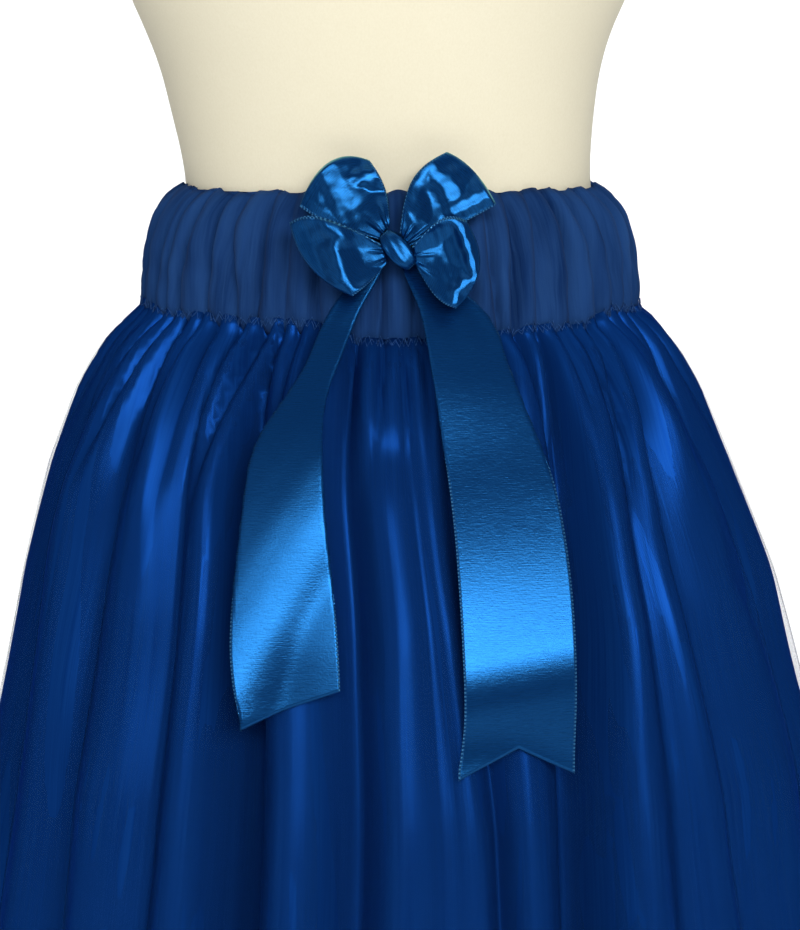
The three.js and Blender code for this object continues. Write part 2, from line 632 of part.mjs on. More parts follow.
const bow = new THREE.Group();
BOW_LOOPS.forEach((loop) => bow.add(named(loop.name, loopGeometry(loop), 'ribbon')));
Object.keys(TAIL_SECTIONS).forEach((name) => bow.add(named(name, tailGeometry(name), 'ribbon')));
const knot = named('bow_knot', new THREE.SphereGeometry(1, KNOT_SPLIT.sides, KNOT_SPLIT.rings), 'ribbon');
knot.scale.set(KNOT.narrow, KNOT.deep, KNOT.long);
knot.rotation.y = radians(-KNOT.turn);
knot.position.set(KNOT.x, KNOT.y, WAIST_HEIGHT - KNOT.drop);
bow.add(knot);

const form = new THREE.Group();
const formRings = FORM_SECTIONS.map((section) => {
  const ring = [];
  for (let i = 0; i < FORM_SIDES; i += 1) ring.push(formPoint(section, (360 * i) / FORM_SIDES, 0));
  return ring;
});
form.add(named('form_torso', ringsGeometry(formRings), 'cover'));

const topSection = FORM_SECTIONS[FORM_SECTIONS.length - 1];
const capStart = WAIST_HEIGHT - topSection.drop + SEAM_GAP;
const capRings = [
  { height: 0, inset: CAP.bevel },
  { height: CAP.bevel, inset: 0 },
  { height: CAP.height - CAP.bevel, inset: 0 },
  { height: CAP.height, inset: CAP.bevel },
].map(({ height, inset }) => {
  const ring = [];
  for (let i = 0; i < CAP.sides; i += 1) {
    const turn = radians((360 * i) / CAP.sides);
    const x = topSection.side + (CAP.radius - inset) * Math.sin(turn);
    const y = -topSection.ahead - (CAP.depth - inset) * Math.cos(turn);
    ring.push(new THREE.Vector3(x, y, capStart + height));
  }
  return ring;
});
form.add(named('form_neck_cap', ringsGeometry(capRings), 'wood'));

const poleBottom = HUB.top + SEAM_GAP;
const poleTop = WAIST_HEIGHT - FORM_SECTIONS[0].drop - SEAM_GAP;
const poleShape = new THREE.CylinderGeometry(POLE.radius, POLE.radius, poleTop - poleBottom, POLE.sides);
const pole = named('form_pole', poleShape, 'stand');
pole.rotation.x = Math.PI / 2;
pole.position.z = (poleTop + poleBottom) / 2;
form.add(pole);

const baseProfile = [
  [0, 0],
  [BASE.radius, 0],
  [BASE.radius, BASE.rim],
  [BASE.radius - BASE.bevel, BASE.rim + BASE.bevel],
  [HUB.radius + BASE.flare, BASE.top],
  [HUB.radius, BASE.top + BASE.neck],
  [HUB.radius - BASE.neck, HUB.top - BASE.bevel],
  [HUB.radius - BASE.neck - BASE.bevel, HUB.top],
  [0, HUB.top],
].map(([x, y]) => new THREE.Vector2(x, y));
const base = named('form_base', new THREE.LatheGeometry(baseProfile, BASE.sides), 'stand');
base.rotation.x = Math.PI / 2;
form.add(base);

const model = new THREE.Group();
model.add(form, skirt, bow);

export default model;
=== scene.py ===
import math

import bpy
import numpy as np
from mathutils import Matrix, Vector


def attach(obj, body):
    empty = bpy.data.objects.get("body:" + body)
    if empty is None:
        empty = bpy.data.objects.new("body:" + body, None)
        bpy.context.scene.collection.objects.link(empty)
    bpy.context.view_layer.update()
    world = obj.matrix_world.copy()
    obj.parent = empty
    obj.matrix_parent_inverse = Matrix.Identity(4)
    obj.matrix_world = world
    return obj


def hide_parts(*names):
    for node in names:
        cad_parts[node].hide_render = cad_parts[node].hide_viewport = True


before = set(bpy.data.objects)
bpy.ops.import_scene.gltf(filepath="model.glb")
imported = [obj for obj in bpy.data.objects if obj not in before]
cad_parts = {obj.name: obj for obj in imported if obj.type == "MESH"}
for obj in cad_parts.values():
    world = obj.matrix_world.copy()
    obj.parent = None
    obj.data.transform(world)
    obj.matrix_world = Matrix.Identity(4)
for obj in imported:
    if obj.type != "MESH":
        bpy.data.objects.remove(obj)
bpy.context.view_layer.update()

MM = 0.001
SEED = 41


def add(name, data):
    ob = bpy.data.objects.new(name, data)
    bpy.context.scene.collection.objects.link(ob)
    return ob


# ---- camera
# 82.3 mm on the long side, looking down 10.2 degrees.
camera_data = bpy.data.cameras.new("camera")
camera_data.lens = 82.3
camera_data.sensor_width = 36.0
camera = add("camera", camera_data)
camera.location = (0.0054, -1.150, 0.828)
camera.rotation_euler = (math.radians(79.8), 0, 0)
bpy.context.scene.camera = camera
bpy.context.scene.view_settings.view_transform = "Standard"

# ---- sizes, in mm
# Drops are below the waist line; angles run in degrees from the front centre, positive towards +X.
WAIST = 770.0
BAND_TOP = -4.0
SEAM = 61.0
SEAM_SAG = 6.0
SAG_FADE = 120.0
WANDER_FADE = 70.0
# The seam's own steps: angle, and how much lower it lies there than its even sag.
SEAM_STEPS = [
    (-90, -7.5), (-62, -7), (-36, -8.5), (-20, -9), (-12, -6), (-6, -1.5), (0, -0.5), (12, -1), (32, -4.5),
    (47, -2.5), (53, -6.5), (62, -8.5), (68, -6), (78, -4), (90, -5), (115, -1), (140, -4), (165, -1.5),
    (190, -4.5), (220, -1), (245, -5), (270, -7.5),
]
HEM = 550.0
TULLE_EXTRA = 6.0  # how much lower the tulle ends
CREST_ALLOWANCE = 11.0  # how far inside the crests the folds' mean surface lies
SKIRT_ROUNDING = 6.0
SEAM_TUCK = 0.45  # how far the satin draws in for each mm that its seam strays up
CREST_SKIN = 0.9  # how far the tulle stands out over the crests
BAND_RATIO = 0.8  # depth to width
SATIN_WALL = 0.8
BAND_WALL = 0.5
RIBBON_WALL = 0.36
RIBBON_WIDTH = 50.0
SELVEDGE_PITCH = 1.8
FORM_POWER = 2 / 2.15  # a little squarer than an ellipse
# The bow's knot: its place, half sizes, lean in degrees, and how far its top is set back for each mm up.
KNOT = {
    "x": 4.4, "y": -117.2, "drop": 21.5,
    "across": 5.4, "along": 10.4, "thick": 10, "lean": 43, "set_back": 0.21,
}

# The skirt: drop, half width over the crests, depth to width, sideways shift, share of the folds.
SKIRT = np.array([
    (61, 134, 0.8, 0, 0), (67, 142.8, 0.803, 0, 0.12), (80, 154, 0.82, 0, 0.34), (102, 168.3, 0.842, 0, 0.6),
    (140, 185.8, 0.868, 0.3, 0.85), (200, 206, 0.89, 4.6, 1), (290, 229, 0.908, 7, 1.05),
    (410, 250, 0.925, 7, 1.2), (550, 268, 0.93, 7, 1.4),
])

# Large folds: crest angles and trough angles at these drops, rise of the crest, dip of the trough.
FOLD_DROPS = [61, 110, 180, 280, 550]
FOLDS = [
    ([-83, -81, -80, -79, -79], [-71, -71, -68.5, -67.5, -67], 8, 6),
    ([-62, -61.5, -62, -58.5, -58], [-52, -51.5, -53, -51.5, -51], 9, 9),
    ([-45, -43, -42.5, -42.8, -45], [-37, -35.5, -35, -34.5, -36], 9, 5),
    ([-32, -30.5, -28.5, -29.2, -30], [-26, -25, -23.5, -22, -22], 8, 27),
    ([-17.5, -17, -16, -14.8, -14], [-8, -7.6, -6.6, -5.8, -7], 7, 13),
    ([-1.5, -0.5, 0.4, 0, 0], [3.4, 4, 4.5, 5.6, 6], 6, 0),
    ([7.5, 6.2, 6.2, 8.8, 11], [12, 10, 9.6, 12, 13.5], 4, 6),
    ([22, 19, 16.8, 15.6, 15.8], [34.5, 34, 29.8, 25.2, 23], 8, 28),
    ([40, 39, 35.5, 32.4, 31], [45.5, 43.5, 39.2, 38, 37], 8, 2),
    ([49.5, 46.4, 42.6, 43, 47], [53.5, 50, 47, 47.5, 51], 8, 6),
    ([58, 57, 59.5, 60.3, 59], [68, 66.5, 69.6, 70, 70], 12, 15),
    ([79, 79, 79, 79, 79], [90, 90, 90, 90, 90], 8, 5),
    ([98, 99, 99, 98, 98], [106, 106, 107, 107, 106], 8, 12),
    ([114, 114, 115, 116, 116], [122, 122, 123, 124, 123], 9, 8),
    ([129, 129, 130, 131, 131], [136, 137, 137, 138, 139], 7, 14),
    ([144, 144, 145, 146, 147], [151, 152, 153, 153, 153], 9, 7),
    ([159, 160, 160, 160, 160], [167, 167, 168, 168, 167], 8, 15),
    ([174, 175, 175, 175, 174], [182, 182, 182, 181, 181], 7, 9),
    ([190, 189, 189, 188, 188], [197, 197, 196, 195, 195], 9, 13),
    ([205, 204, 203, 203, 204], [212, 211, 211, 212, 212], 7, 6),
    ([220, 220, 219, 220, 220], [228, 227, 227, 228, 228], 9, 15),
    ([235, 234, 234, 235, 236], [242, 242, 242, 243, 243], 8, 8),
    ([249, 249, 250, 250, 250], [256, 256, 256, 257, 257], 8, 12),
    ([263, 263, 263, 264, 264], [270, 270, 270, 270, 270], 8, 10),
]

# The troughs deepen by this share, from this drop on, over this length.
DEEPENING = (0.35, 150, 170)

# Gathers under the seam: angle at the seam, angle 40 mm lower, drop where it fades out, height.
FRONT_GATHERS = [
    (-87, -87.5, 128, 2.2), (-80.5, -81, 150, 3), (-75.5, -76.5, 118, 2.4), (-70.5, -71.8, 140, 2.8),
    (-64.7, -66.6, 160, 3.4), (-59, -61.3, 150, 3), (-53.8, -55.8, 165, 3.2), (-48.7, -50, 112, 2.4),
    (-43.5, -42.4, 170, 3.4), (-38.5, -37.6, 108, 2.4), (-30.3, -33.4, 160, 3.4), (-25.2, -27.8, 175, 3),
    (-21.8, -24.1, 122, 2.2), (-17.4, -17.4, 150, 3), (-10.2, -11, 112, 2.6), (-3.3, -4.2, 142, 3),
    (1.4, 0.4, 104, 1.8), (4.9, 5.2, 146, 3), (9.4, 9, 104, 2.4), (15.4, 16.2, 130, 3),
    (24.7, 27.2, 175, 3.4), (31.9, 31.5, 168, 3.2), (36.9, 36.2, 150, 2.6), (42.3, 41, 118, 2.2),
    (46.4, 42.9, 172, 3), (50, 46.6, 168, 3), (55.2, 55.6, 165, 3.2), (61, 61.6, 112, 2.2),
    (66.5, 67.5, 160, 3.2), (72.5, 73.5, 118, 2.6), (78, 79, 150, 2.8), (84.5, 85.2, 124, 2.4),
]
GATHER_REACH = 40.0
GATHER_SCALE = 1.5
RUCHE_SCALE = 2.5
GATHER_SOFTNESS = 0.22
RUCHE_SOFTNESS = 0.16
CREST_LEVEL = 0.68

# Soft local creases in the satin: angle, drop, half width in degrees, half length in mm, lean in degrees over
# the half length, height.
CREASES = [
    (0.2, 116, 3.2, 10, 0, -4.2), (-2.6, 100, 1.3, 20, 1.4, 2.2), (3, 100, 1.3, 20, -1.4, 2.2),
    (-64, 170, 4.5, 75, -8, 3.2), (60, 140, 3.6, 70, 7.5, 3.4), (-51, 150, 1.6, 26, -3, -2.4),
    (61, 205, 2.4, 22, 3.5, -3.2), (57, 170, 1.8, 30, -1.5, 1.4),
    (-48, 240, 2.2, 60, 2, -1.2), (-12, 330, 2.4, 90, -1.5, 1.3), (22, 380, 2.6, 90, 2, -1.4),
    (-72, 360, 2.6, 80, 2.5, 1.6), (44, 430, 2.2, 80, -2, 1.4), (-38, 470, 2.6, 70, 2, -1.6),
    (110, 210, 2.4, 34, 3, -2), (139, 300, 2.4, 70, -2.5, 1.5), (163, 170, 2.2, 30, 2, -2.2),
    (187, 390, 2.8, 90, -2, -1.5), (209, 250, 2.2, 50, 2, 1.4), (232, 190, 2.4, 34, -3, -2.2),
    (251, 400, 2.6, 80, 2, 1.5), (124, 450, 2.6, 70, 2, -1.4), (173, 480, 2.4, 60, -2, 1.3),
]

TULLE_GAP = 0.6  # how far it lies off the satin
TULLE_LIFT = 0.1  # and how much more where it bridges a trough
TULLE_BRIDGE = 0.85  # the share of a trough's depth that it follows
TULLE_ROUNDING = 0.8
TULLE_RIPPLE = 0.5
# The tulle's billows: angle, half width in degrees, drop, half length, height.
BILLOWS = [(84, 17, 245, 80, 2.2), (-84, 16, 130, 60, 1.2)]

# The waistband: drop, half width, share of the ruches.
BAND = np.array([
    (-4, 110.6, 0.35), (-0.5, 116, 0.7), (4, 119.8, 1), (12, 124.6, 1), (24, 128.2, 1.1),
    (40, 130.6, 1.1), (54, 132.2, 1), (61, 132.6, 0.7),
])
# Valleys between the band's ruches: angle at the top, upper third, lower third and foot, height beside it.
FRONT_RUCHES = [
    (-85, -86, -88, -89.5, 2.2), (-77, -75, -77, -79, 2), (-66, -63.5, -66, -67, 3.2),
    (-59.5, -60.5, -61, -60, 1.6), (-53, -54, -56.6, -56, 3), (-44.7, -44.6, -45, -45.7, 3.2),
    (-38.4, -40.2, -37, -35.6, 2.4), (-30, -29.8, -29.8, -30.7, 2.8), (-24.2, -23.5, -23.5, -23.7, 2.2),
    (-16.5, -15.5, -16.5, -15, 2.6), (-9, -8, -7.5, -9.5, 2.2), (-2, -3, -1.5, -2.5, 2.6),
    (5, 4, 6, 5.5, 2.2), (11, 12.5, 11, 12, 2.6), (17.5, 17, 18.5, 18, 2),
    (23.7, 23.2, 23.7, 24.7, 3), (30.4, 29.3, 28.3, 27.8, 2.6), (37.3, 36.1, 35.1, 34.6, 2.4),
    (43.4, 45, 45.8, 45, 3.6), (48.4, 52.5, 53.9, 54.6, 2.4), (57.8, 60.3, 60.6, 60, 3.2),
    (68.5, 70.4, 68.4, 66.8, 2.8), (76, 77, 76.5, 75, 2.2), (84, 85, 84, 85.5, 2.4),
]

# The dress form: drop, half width, half depth, sideways shift, shift to the front.
FORM = np.array([
    (234, 112, 74, 0, 0), (231, 128, 87, 0, 0), (222, 142, 98, 0, 0), (205, 150, 105, 0, 0),
    (180, 152, 107, 0, 0), (145, 148, 105, 0, 0), (100, 137.5, 99, 0, 0), (61, 125, 92.5, 0, 0),
    (28, 114.2, 86.5, 0, 0), (0, 107.8, 82.8, -0.5, 0), (-20, 108.7, 84, -2, 0.5),
    (-45, 112.4, 87.5, -4, 1.5), (-65, 115.8, 91, -5, 3), (-85, 122.2, 95.5, -6, 4.5),
    (-105, 131.2, 100.5, -5.8, 6), (-140, 139, 107.5, -5.5, 8.5), (-175, 140.8, 107, -5.2, 8),
    (-215, 140, 98, -4.5, 5), (-255, 147.2, 87, -4.8, 2), (-285, 155.6, 77, -5.4, 0),
    (-308, 152, 68, -6, -1), (-326, 128, 61, -6, -1), (-340, 88, 56, -6, 0), (-352, 63, 53, -6, 1),
    (-370, 54, 51, -6, 2), (-400, 51, 49, -6, 3),
], float)[::-1]

# Bow loops from the knot's centre, x to the right and z up. A loop leaves the knot along `root` and bends back
# along heel, crown and toe. `cut` is its length in metres, `arch` bows its heel's and toe's edges out, `stack`
# sets it forward, `lean` tips its top back, `puff` fills its front and back, `pleats` are height and phase.
# Ridges: points, reach, height, roundness of the crest, half width of its flat top.
LOOPS = {
    "upper_left": {
        "root": ((-9.4, 5), (-4, 11.6)), "heel": (-48, 20), "crown": (-34, 41), "toe": (-14, 42),
        "cut": 0.092, "arch": (3, 3), "stack": -4, "lean": 0.34, "puff": (1.6, 6), "pleats": (4.6, 0.4),
        "ridges": [
            (((-34, 38), (-30, 32), (-24, 24)), 6, 4.6, 6, 2.6),
            (((-27, 31), (-9, 35.5)), 4, 4.6, 4, 1.2),
        ],
    },
    "upper_right": {
        "root": ((1.2, 7.8), (6, 1.4)), "heel": (24, 46), "crown": (37, 37), "toe": (48, 21),
        "cut": 0.090, "arch": (8, 1), "stack": -4, "lean": 0.34, "puff": (1.6, 6), "pleats": (4.6, 1.1),
        "ridges": [
            (((15, 39), (9.6, 32), (8.6, 15)), 3.5, 4.6, 3, 0.9),
            (((15, 39), (26, 29), (29.5, 20)), 5, 4.6, 5, 1.7),
            (((46, 28), (28, 19)), 4, 4.6, 3.5, 1.7),
        ],
    },
    "lower_left": {
        "root": ((-8.2, 3), (-5.2, -6)), "heel": (-52, 13), "crown": (-42, -8), "toe": (-22, -21),
        "cut": 0.092, "arch": (10, 1), "stack": 6.2, "lean": 0.30, "puff": (2, 5), "pleats": (4.6, 0),
        "ridges": [
            (((-40, 18), (-34, 19), (-35, 13)), 6, 8.6, 3.5, 2),
            (((-35, 13), (-28, 7.5), (-30, 1), (-25.6, -15), (-18, -20)), 6, 8.6, 2, 1.1),
        ],
    },
    "lower_right": {
        "root": ((7.2, 1.8), (9.2, -8.2)), "heel": (33, 14), "crown": (39.5, -8), "toe": (28, -27),
        "cut": 0.082, "arch": (7, 4), "stack": 6.2, "lean": 0.30, "puff": (2, 5), "pleats": (4.8, 0.7),
        "ridges": [
            (((10, 13), (20, 15.5), (30, 13.5), (34.5, 1), (37, -13), (31.5, -14.5), (26.5, -24)),
             6, 7.8, 1.6, 0.8),
        ],
    },
}
RIDGE_LEAN = 0.20  # how far a ridge's flat top leans back for each mm up

# Ribbon tails: drop, left edge, right edge.
TAILS = {
    "left": np.array([
        (20, -6.5, 2), (32, -14, -2), (45, -25, -11), (56, -33, -17.6), (68, -36, -20), (84, -44, -29),
        (96, -54, -31.5), (112, -65.5, -31.7), (130, -68.3, -31), (150, -70.5, -29.4), (172, -73, -26.5),
        (196, -74.8, -24), (212, -74.4, -23), (222, -73, -22.4), (236, -69.5, -22.4),
    ]),
    "right": np.array([
        (20, 3.2, 12), (31, 5, 20), (42, 12, 37), (54, 16.8, 52.3), (68, 18.5, 54.5), (86, 22.2, 61.5),
        (107, 24.8, 70.5), (130, 28.8, 79.6), (154, 31.5, 84), (176, 33, 86.5), (188, 33.8, 87.4),
        (202, 34.5, 87.9), (226, 35.6, 88.4), (238, 35.4, 88.2), (247, 34.6, 87.6), (258, 32.6, 87.7),
    ]),
}
# How much further down a tail's bend lies at its left edge than at its middle.
TAIL_SKEW = {"left": 38, "right": 5.0}
TAIL_TILT = 0.7  # the share of the skirt's slope that a tail takes
# Drop and how far forward of the waist's centre a tail falls, then the same for its bend across the skew.
TAIL_FALLS = {
    "left": (
        [(20, 106.5), (240, 198.9)],
        [(60, 0), (110, 4), (140, 5), (165, 4), (188, 1.8), (205, -1.8), (290, -27)],
    ),
    "right": (
        [(20, 106.5), (140, 161.7), (165, 172.6), (190, 182.4), (216, 192), (266, 193.6)],
        [(100, 0), (290, 0)],
    ),
}
# The swallow-tail cut: drop at the left corner, at the notch and at the right corner.
TAIL_CUTS = {"left": (241, 231, 222.5), "right": (262.5, 249, 262.5)}


# ---- lookups and small shapes
def soft(xs, ys, x, width=10):
    """A table looked up with straight lines, its corners rounded over `width` to each side."""
    x = np.asarray(x, float)
    room = np.clip(np.minimum(x - xs[0], xs[-1] - x), 0, width)
    return np.mean([np.interp(x + k * room / 4, xs, ys) for k in range(-4, 5)], axis=0)


def lookup(table, column, x, width=10):
    """One column of a table whose first column is the drop."""
    return soft(table[:, 0], table[:, column], x, width)


def bell(x):
    return np.exp(-x * x)


def smoothstep(x):
    x = np.clip(x, 0, 1)
    return x * x * (3 - 2 * x)


def soft_maximum(a, b, width, share=1):
    """The larger of two heights, lifted where they meet so that no edge shows."""
    return np.maximum(a, b) + width * share * np.log1p(np.exp(-np.abs(a - b) / width))


def seam_sag(angle):
    return SEAM_SAG * ((1 + np.cos(np.radians(angle))) / 2) ** 2


def spread_rows(start, end, first, last):
    """Drops from start to end whose spacing grows from `first` to `last`."""
    drops = [start]
    while drops[-1] < end:
        share = (drops[-1] - start) / (end - start)
        drops.append(drops[-1] + first + (last - first) * share)
    return np.array(drops[:-1] + [end])


# ---- meshes
def normals(grid):
    down = np.gradient(grid, axis=0)
    across = np.gradient(grid, axis=1)
    out = np.cross(across, down)
    return out / np.maximum(np.linalg.norm(out, axis=2, keepdims=True), 1e-9)


def strip(first, second, flip, faces):
    """Triangles between two rows of indices that may differ in length."""
    i = j = 0
    m, n = len(first) - 1, len(second) - 1
    while i < m or j < n:
        if j >= n or (i < m and (i + 1) * n <= (j + 1) * m):
            tri = (first[i], first[i + 1], second[j])
            i += 1
        else:
            tri = (first[i], second[j + 1], second[j])
            j += 1
        faces.append(tri[::-1] if flip else tri)


def quads(start, rows, columns, flip, wrap=False):
    index = start + np.arange(rows * columns).reshape(rows, columns)
    if wrap:
        index = np.concatenate([index, index[:, :1]], axis=1)
    a, b, c, d = index[:-1, :-1], index[:-1, 1:], index[1:, 1:], index[1:, :-1]
    order = (a, d, c, b) if flip else (a, b, c, d)
    return np.stack(order, axis=-1).reshape(-1, 4).tolist()


def make_object(name, points, faces, uv, material):
    mesh = bpy.data.meshes.new(name)
    mesh.from_pydata((np.asarray(points) * MM).tolist(), [], faces)
    mesh.update()
    if uv is not None:
        layer = mesh.uv_layers.new(name="flat")
        corner = np.empty(len(mesh.loops), dtype=np.int32)
        mesh.loops.foreach_get("vertex_index", corner)
        layer.data.foreach_set("uv", (np.asarray(uv) * MM)[corner].ravel())
    mesh.shade_smooth()
    mesh.materials.append(material)
    return add(name, mesh)


def run_along(points):
    """Distance in mm from the start of a path, or the mean of it over a path's neighbours in a grid."""
    steps = np.linalg.norm(np.diff(points, axis=0), axis=-1)
    return np.concatenate([[0], np.cumsum(steps if points.ndim == 2 else steps.mean(axis=1))])


def grid_uv(grid, u=None):
    """Distances across and down the cloth, in mm."""
    u = run_along(grid.swapaxes(0, 1)) if u is None else u
    return np.stack(np.meshgrid(u, run_along(grid)), axis=-1)


def sheet_object(name, grid, material, uv=None):
    uv = grid_uv(grid) if uv is None else uv
    rows, columns = grid.shape[:2]
    return make_object(name, grid.reshape(-1, 3), quads(0, rows, columns, True), uv.reshape(-1, 2), material)


def shell_object(name, grid, wall, material, step=(3, 2), uv=None):
    """A thin shell: the grid outside, a coarser copy moved in by the wall, closed along its edges."""
    uv = grid_uv(grid) if uv is None else uv
    rows, columns = grid.shape[:2]
    keep_rows = sorted(set(range(0, rows, step[0])) | {rows - 1})
    keep_columns = sorted(set(range(0, columns, step[1])) | {columns - 1})
    pick = np.ix_(keep_rows, keep_columns)
    inner = (grid - normals(grid) * wall)[pick]
    inner_rows, inner_columns = inner.shape[:2]
    start = rows * columns
    faces = quads(0, rows, columns, True) + quads(start, inner_rows, inner_columns, False)
    outer_at = np.arange(start).reshape(rows, columns)
    inner_at = start + np.arange(inner_rows * inner_columns).reshape(inner_rows, inner_columns)
    for edge, flip in ((np.s_[0], False), (np.s_[-1], True), (np.s_[:, 0], True), (np.s_[:, -1], False)):
        strip(outer_at[edge].tolist(), inner_at[edge].tolist(), flip, faces)
    points = np.concatenate([grid.reshape(-1, 3), inner.reshape(-1, 3)])
    every_uv = np.concatenate([uv.reshape(-1, 2), uv[pick].reshape(-1, 2)])
    return make_object(name, points, faces, every_uv, material)


def rings_object(name, rings, material):
    """A closed body through rings, capped at both ends."""
    count, sides = rings.shape[:2]
    points = np.concatenate([rings.reshape(-1, 3), [rings[0].mean(axis=0), rings[-1].mean(axis=0)]])
    faces = quads(0, count, sides, False, wrap=True)
    first, last = count * sides, count * sides + 1
    base = (count - 1) * sides
    for i in range(sides):
        following = (i + 1) % sides
        faces.append((following, i, first))
        faces.append((base + i, base + following, last))
    ob = make_object(name, points, faces, None, material)
    turn_outward(ob)
    return ob


def turn_outward(ob):
    """Turns a closed mesh's faces round where they face inwards."""
    mesh = ob.data
    mesh.calc_loop_triangles()
    volume = 0.0
    for tri in mesh.loop_triangles:
        a, b, c = (mesh.vertices[i].co for i in tri.vertices)
        volume += a.dot(b.cross(c))
    if volume < 0:
        mesh.flip_normals()


def tube_object(name, path, radius, sides, material):
    """A thread along a path of points."""
    path = np.asarray(path, float)
    way = np.gradient(path, axis=0)
    way /= np.linalg.norm(way, axis=1, keepdims=True)
    out = np.stack([path[:, 0], path[:, 1] * 1.2, np.zeros(len(path))], axis=1)
    out -= (out * way).sum(axis=1, keepdims=True) * way
    out /= np.linalg.norm(out, axis=1, keepdims=True)
    beside = np.cross(way, out)
    turn = np.linspace(0, 2 * np.pi, sides, endpoint=False)
    ring = out[:, None] * np.cos(turn)[None, :, None] + beside[:, None] * np.sin(turn)[None, :, None]
    rings = path[:, None] + radius * ring
    return rings_object(name, rings, material)


# ---- materials
class Material:
    """A Principled material and short calls for its nodes, whose inputs go by name, or by number as in i0."""

    def __init__(self, name, **sockets):
        self.material = bpy.data.materials.new(name)
        self.material.use_nodes = True
        self.tree = self.material.node_tree
        self.shader = self.tree.nodes["Principled BSDF"]
        for key, value in sockets.items():
            self.shader.inputs[key.replace("_", " ")].default_value = value
        self.bump_from = None

    def node(self, kind, settings=None, **inputs):
        made = self.tree.nodes.new("ShaderNode" + kind)
        for key, value in (settings or {}).items():
            setattr(made, key, value)
        for key, value in inputs.items():
            numbered = key[0] == "i" and key[1:].isdigit()
            socket = made.inputs[int(key[1:]) if numbered else key.replace("_", " ")]
            if isinstance(value, bpy.types.NodeSocket):
                self.tree.links.new(value, socket)
            else:
                socket.default_value = value
        return made

    def flat(self, scale=(1, 1, 1)):
        uv = self.node("UVMap", {"uv_map": "flat"}).outputs["UV"]
        return self.node("Mapping", Vector=uv, Scale=scale).outputs["Vector"]

    def place(self, scale):
        at = self.node("TexCoord").outputs["Object"]
        return self.node("Mapping", Vector=at, Scale=scale).outputs["Vector"]

    def noise(self, vector, detail=2, roughness=0.5):
        made = self.node("TexNoise", Vector=vector, Scale=1, Detail=detail, Roughness=roughness)
        return made.outputs["Fac"]

    def math(self, operation, a, b=0):
        return self.node("Math", {"operation": operation}, i0=a, i1=b).outputs[0]

    def spread(self, value, low, high, start=0, end=1):
        made = self.node("MapRange", Value=value, From_Min=start, From_Max=end, To_Min=low, To_Max=high)
        return made.outputs[0]

    def mix(self, share, a, b):
        a, b = (value if isinstance(value, bpy.types.NodeSocket) else (*value, 1) for value in (a, b))
        return self.node("Mix", {"data_type": "RGBA"}, i0=share, i6=a, i7=b).outputs[2]

    def colour(self, share, a, b):
        self.set("Base Color", self.mix(share, a, b))

    def net(self, scale):
        """Distance to the threads of a fine net."""
        kind = {"feature": "DISTANCE_TO_EDGE"}
        return self.node("TexVoronoi", kind, Vector=self.flat(), Scale=scale).outputs["Distance"]

    def set(self, socket, value):
        self.tree.links.new(value, self.shader.inputs[socket])

    def bump(self, height, distance, strength=1):
        inputs = {"Height": height, "Distance": distance, "Strength": strength}
        if self.bump_from is not None:
            inputs["Normal"] = self.bump_from
        self.bump_from = self.node("Bump", **inputs).outputs["Normal"]
        self.set("Normal", self.bump_from)


def satin_material():
    m = Material("skirt_satin", Roughness=0.4, Metallic=0.38, Specular_IOR_Level=0,
                 Specular_Tint=(0, 0.15, 0.55, 1))
    streaks = m.noise(m.flat((900, 9, 1)), 3, 0.6)
    patches = m.noise(m.flat((9, 5, 1)), 2, 0.5)
    deep = m.mix(patches, (0.0017, 0.022, 0.128), (0.0025, 0.030, 0.155))
    m.colour(m.spread(streaks, 0, 0.5, 0.35, 0.75), deep, (0.0055, 0.050, 0.215))
    m.set("Roughness", m.spread(streaks, 0.26, 0.40))
    m.bump(streaks, 0.00012, 0.5)
    weave = m.node("TexWave", {"wave_type": "BANDS", "bands_direction": "DIAGONAL"}, Vector=m.flat(),
                   Scale=420, Distortion=1.5, Detail=1)
    m.bump(weave.outputs["Fac"], 0.00004, 0.4)
    return m.material


def tulle_material():
    m = Material("tulle", Roughness=0.7, Specular_IOR_Level=0)
    streaks = m.noise(m.flat((1500, 14, 1)), 2, 0.55)
    threads = m.spread(m.net(900), 1, 0, 0.02, 0.12)
    m.colour(streaks, (0.0020, 0.018, 0.100), (0.0060, 0.042, 0.19))
    both = m.math("ADD", m.math("MULTIPLY", threads, 0.18), m.spread(streaks, 0, 0.38, 0.3, 0.8))
    m.set("Alpha", m.math("MAXIMUM", both, 0.12))
    m.bump(streaks, 0.0002, 0.5)
    return m.material


def band_material():
    m = Material("waistband_cloth", Roughness=0.85, Specular_IOR_Level=0, Sheen_Weight=0.03,
                 Sheen_Roughness=0.5, Sheen_Tint=(0.5, 0.65, 1, 1))
    streaks = m.noise(m.flat((700, 22, 1)), 4, 0.65)
    layers = m.noise(m.flat((60, 9, 1)), 3, 0.55)
    base = m.mix(m.spread(layers, 0, 1, 0.3, 0.7), (0.0034, 0.0165, 0.072), (0.0150, 0.056, 0.184))
    m.colour(m.spread(streaks, 0, 0.6, 0.4, 0.8), base, (0.018, 0.060, 0.175))
    m.bump(streaks, 0.0004, 0.6)
    m.bump(m.net(850), 0.00015, 0.35)
    return m.material


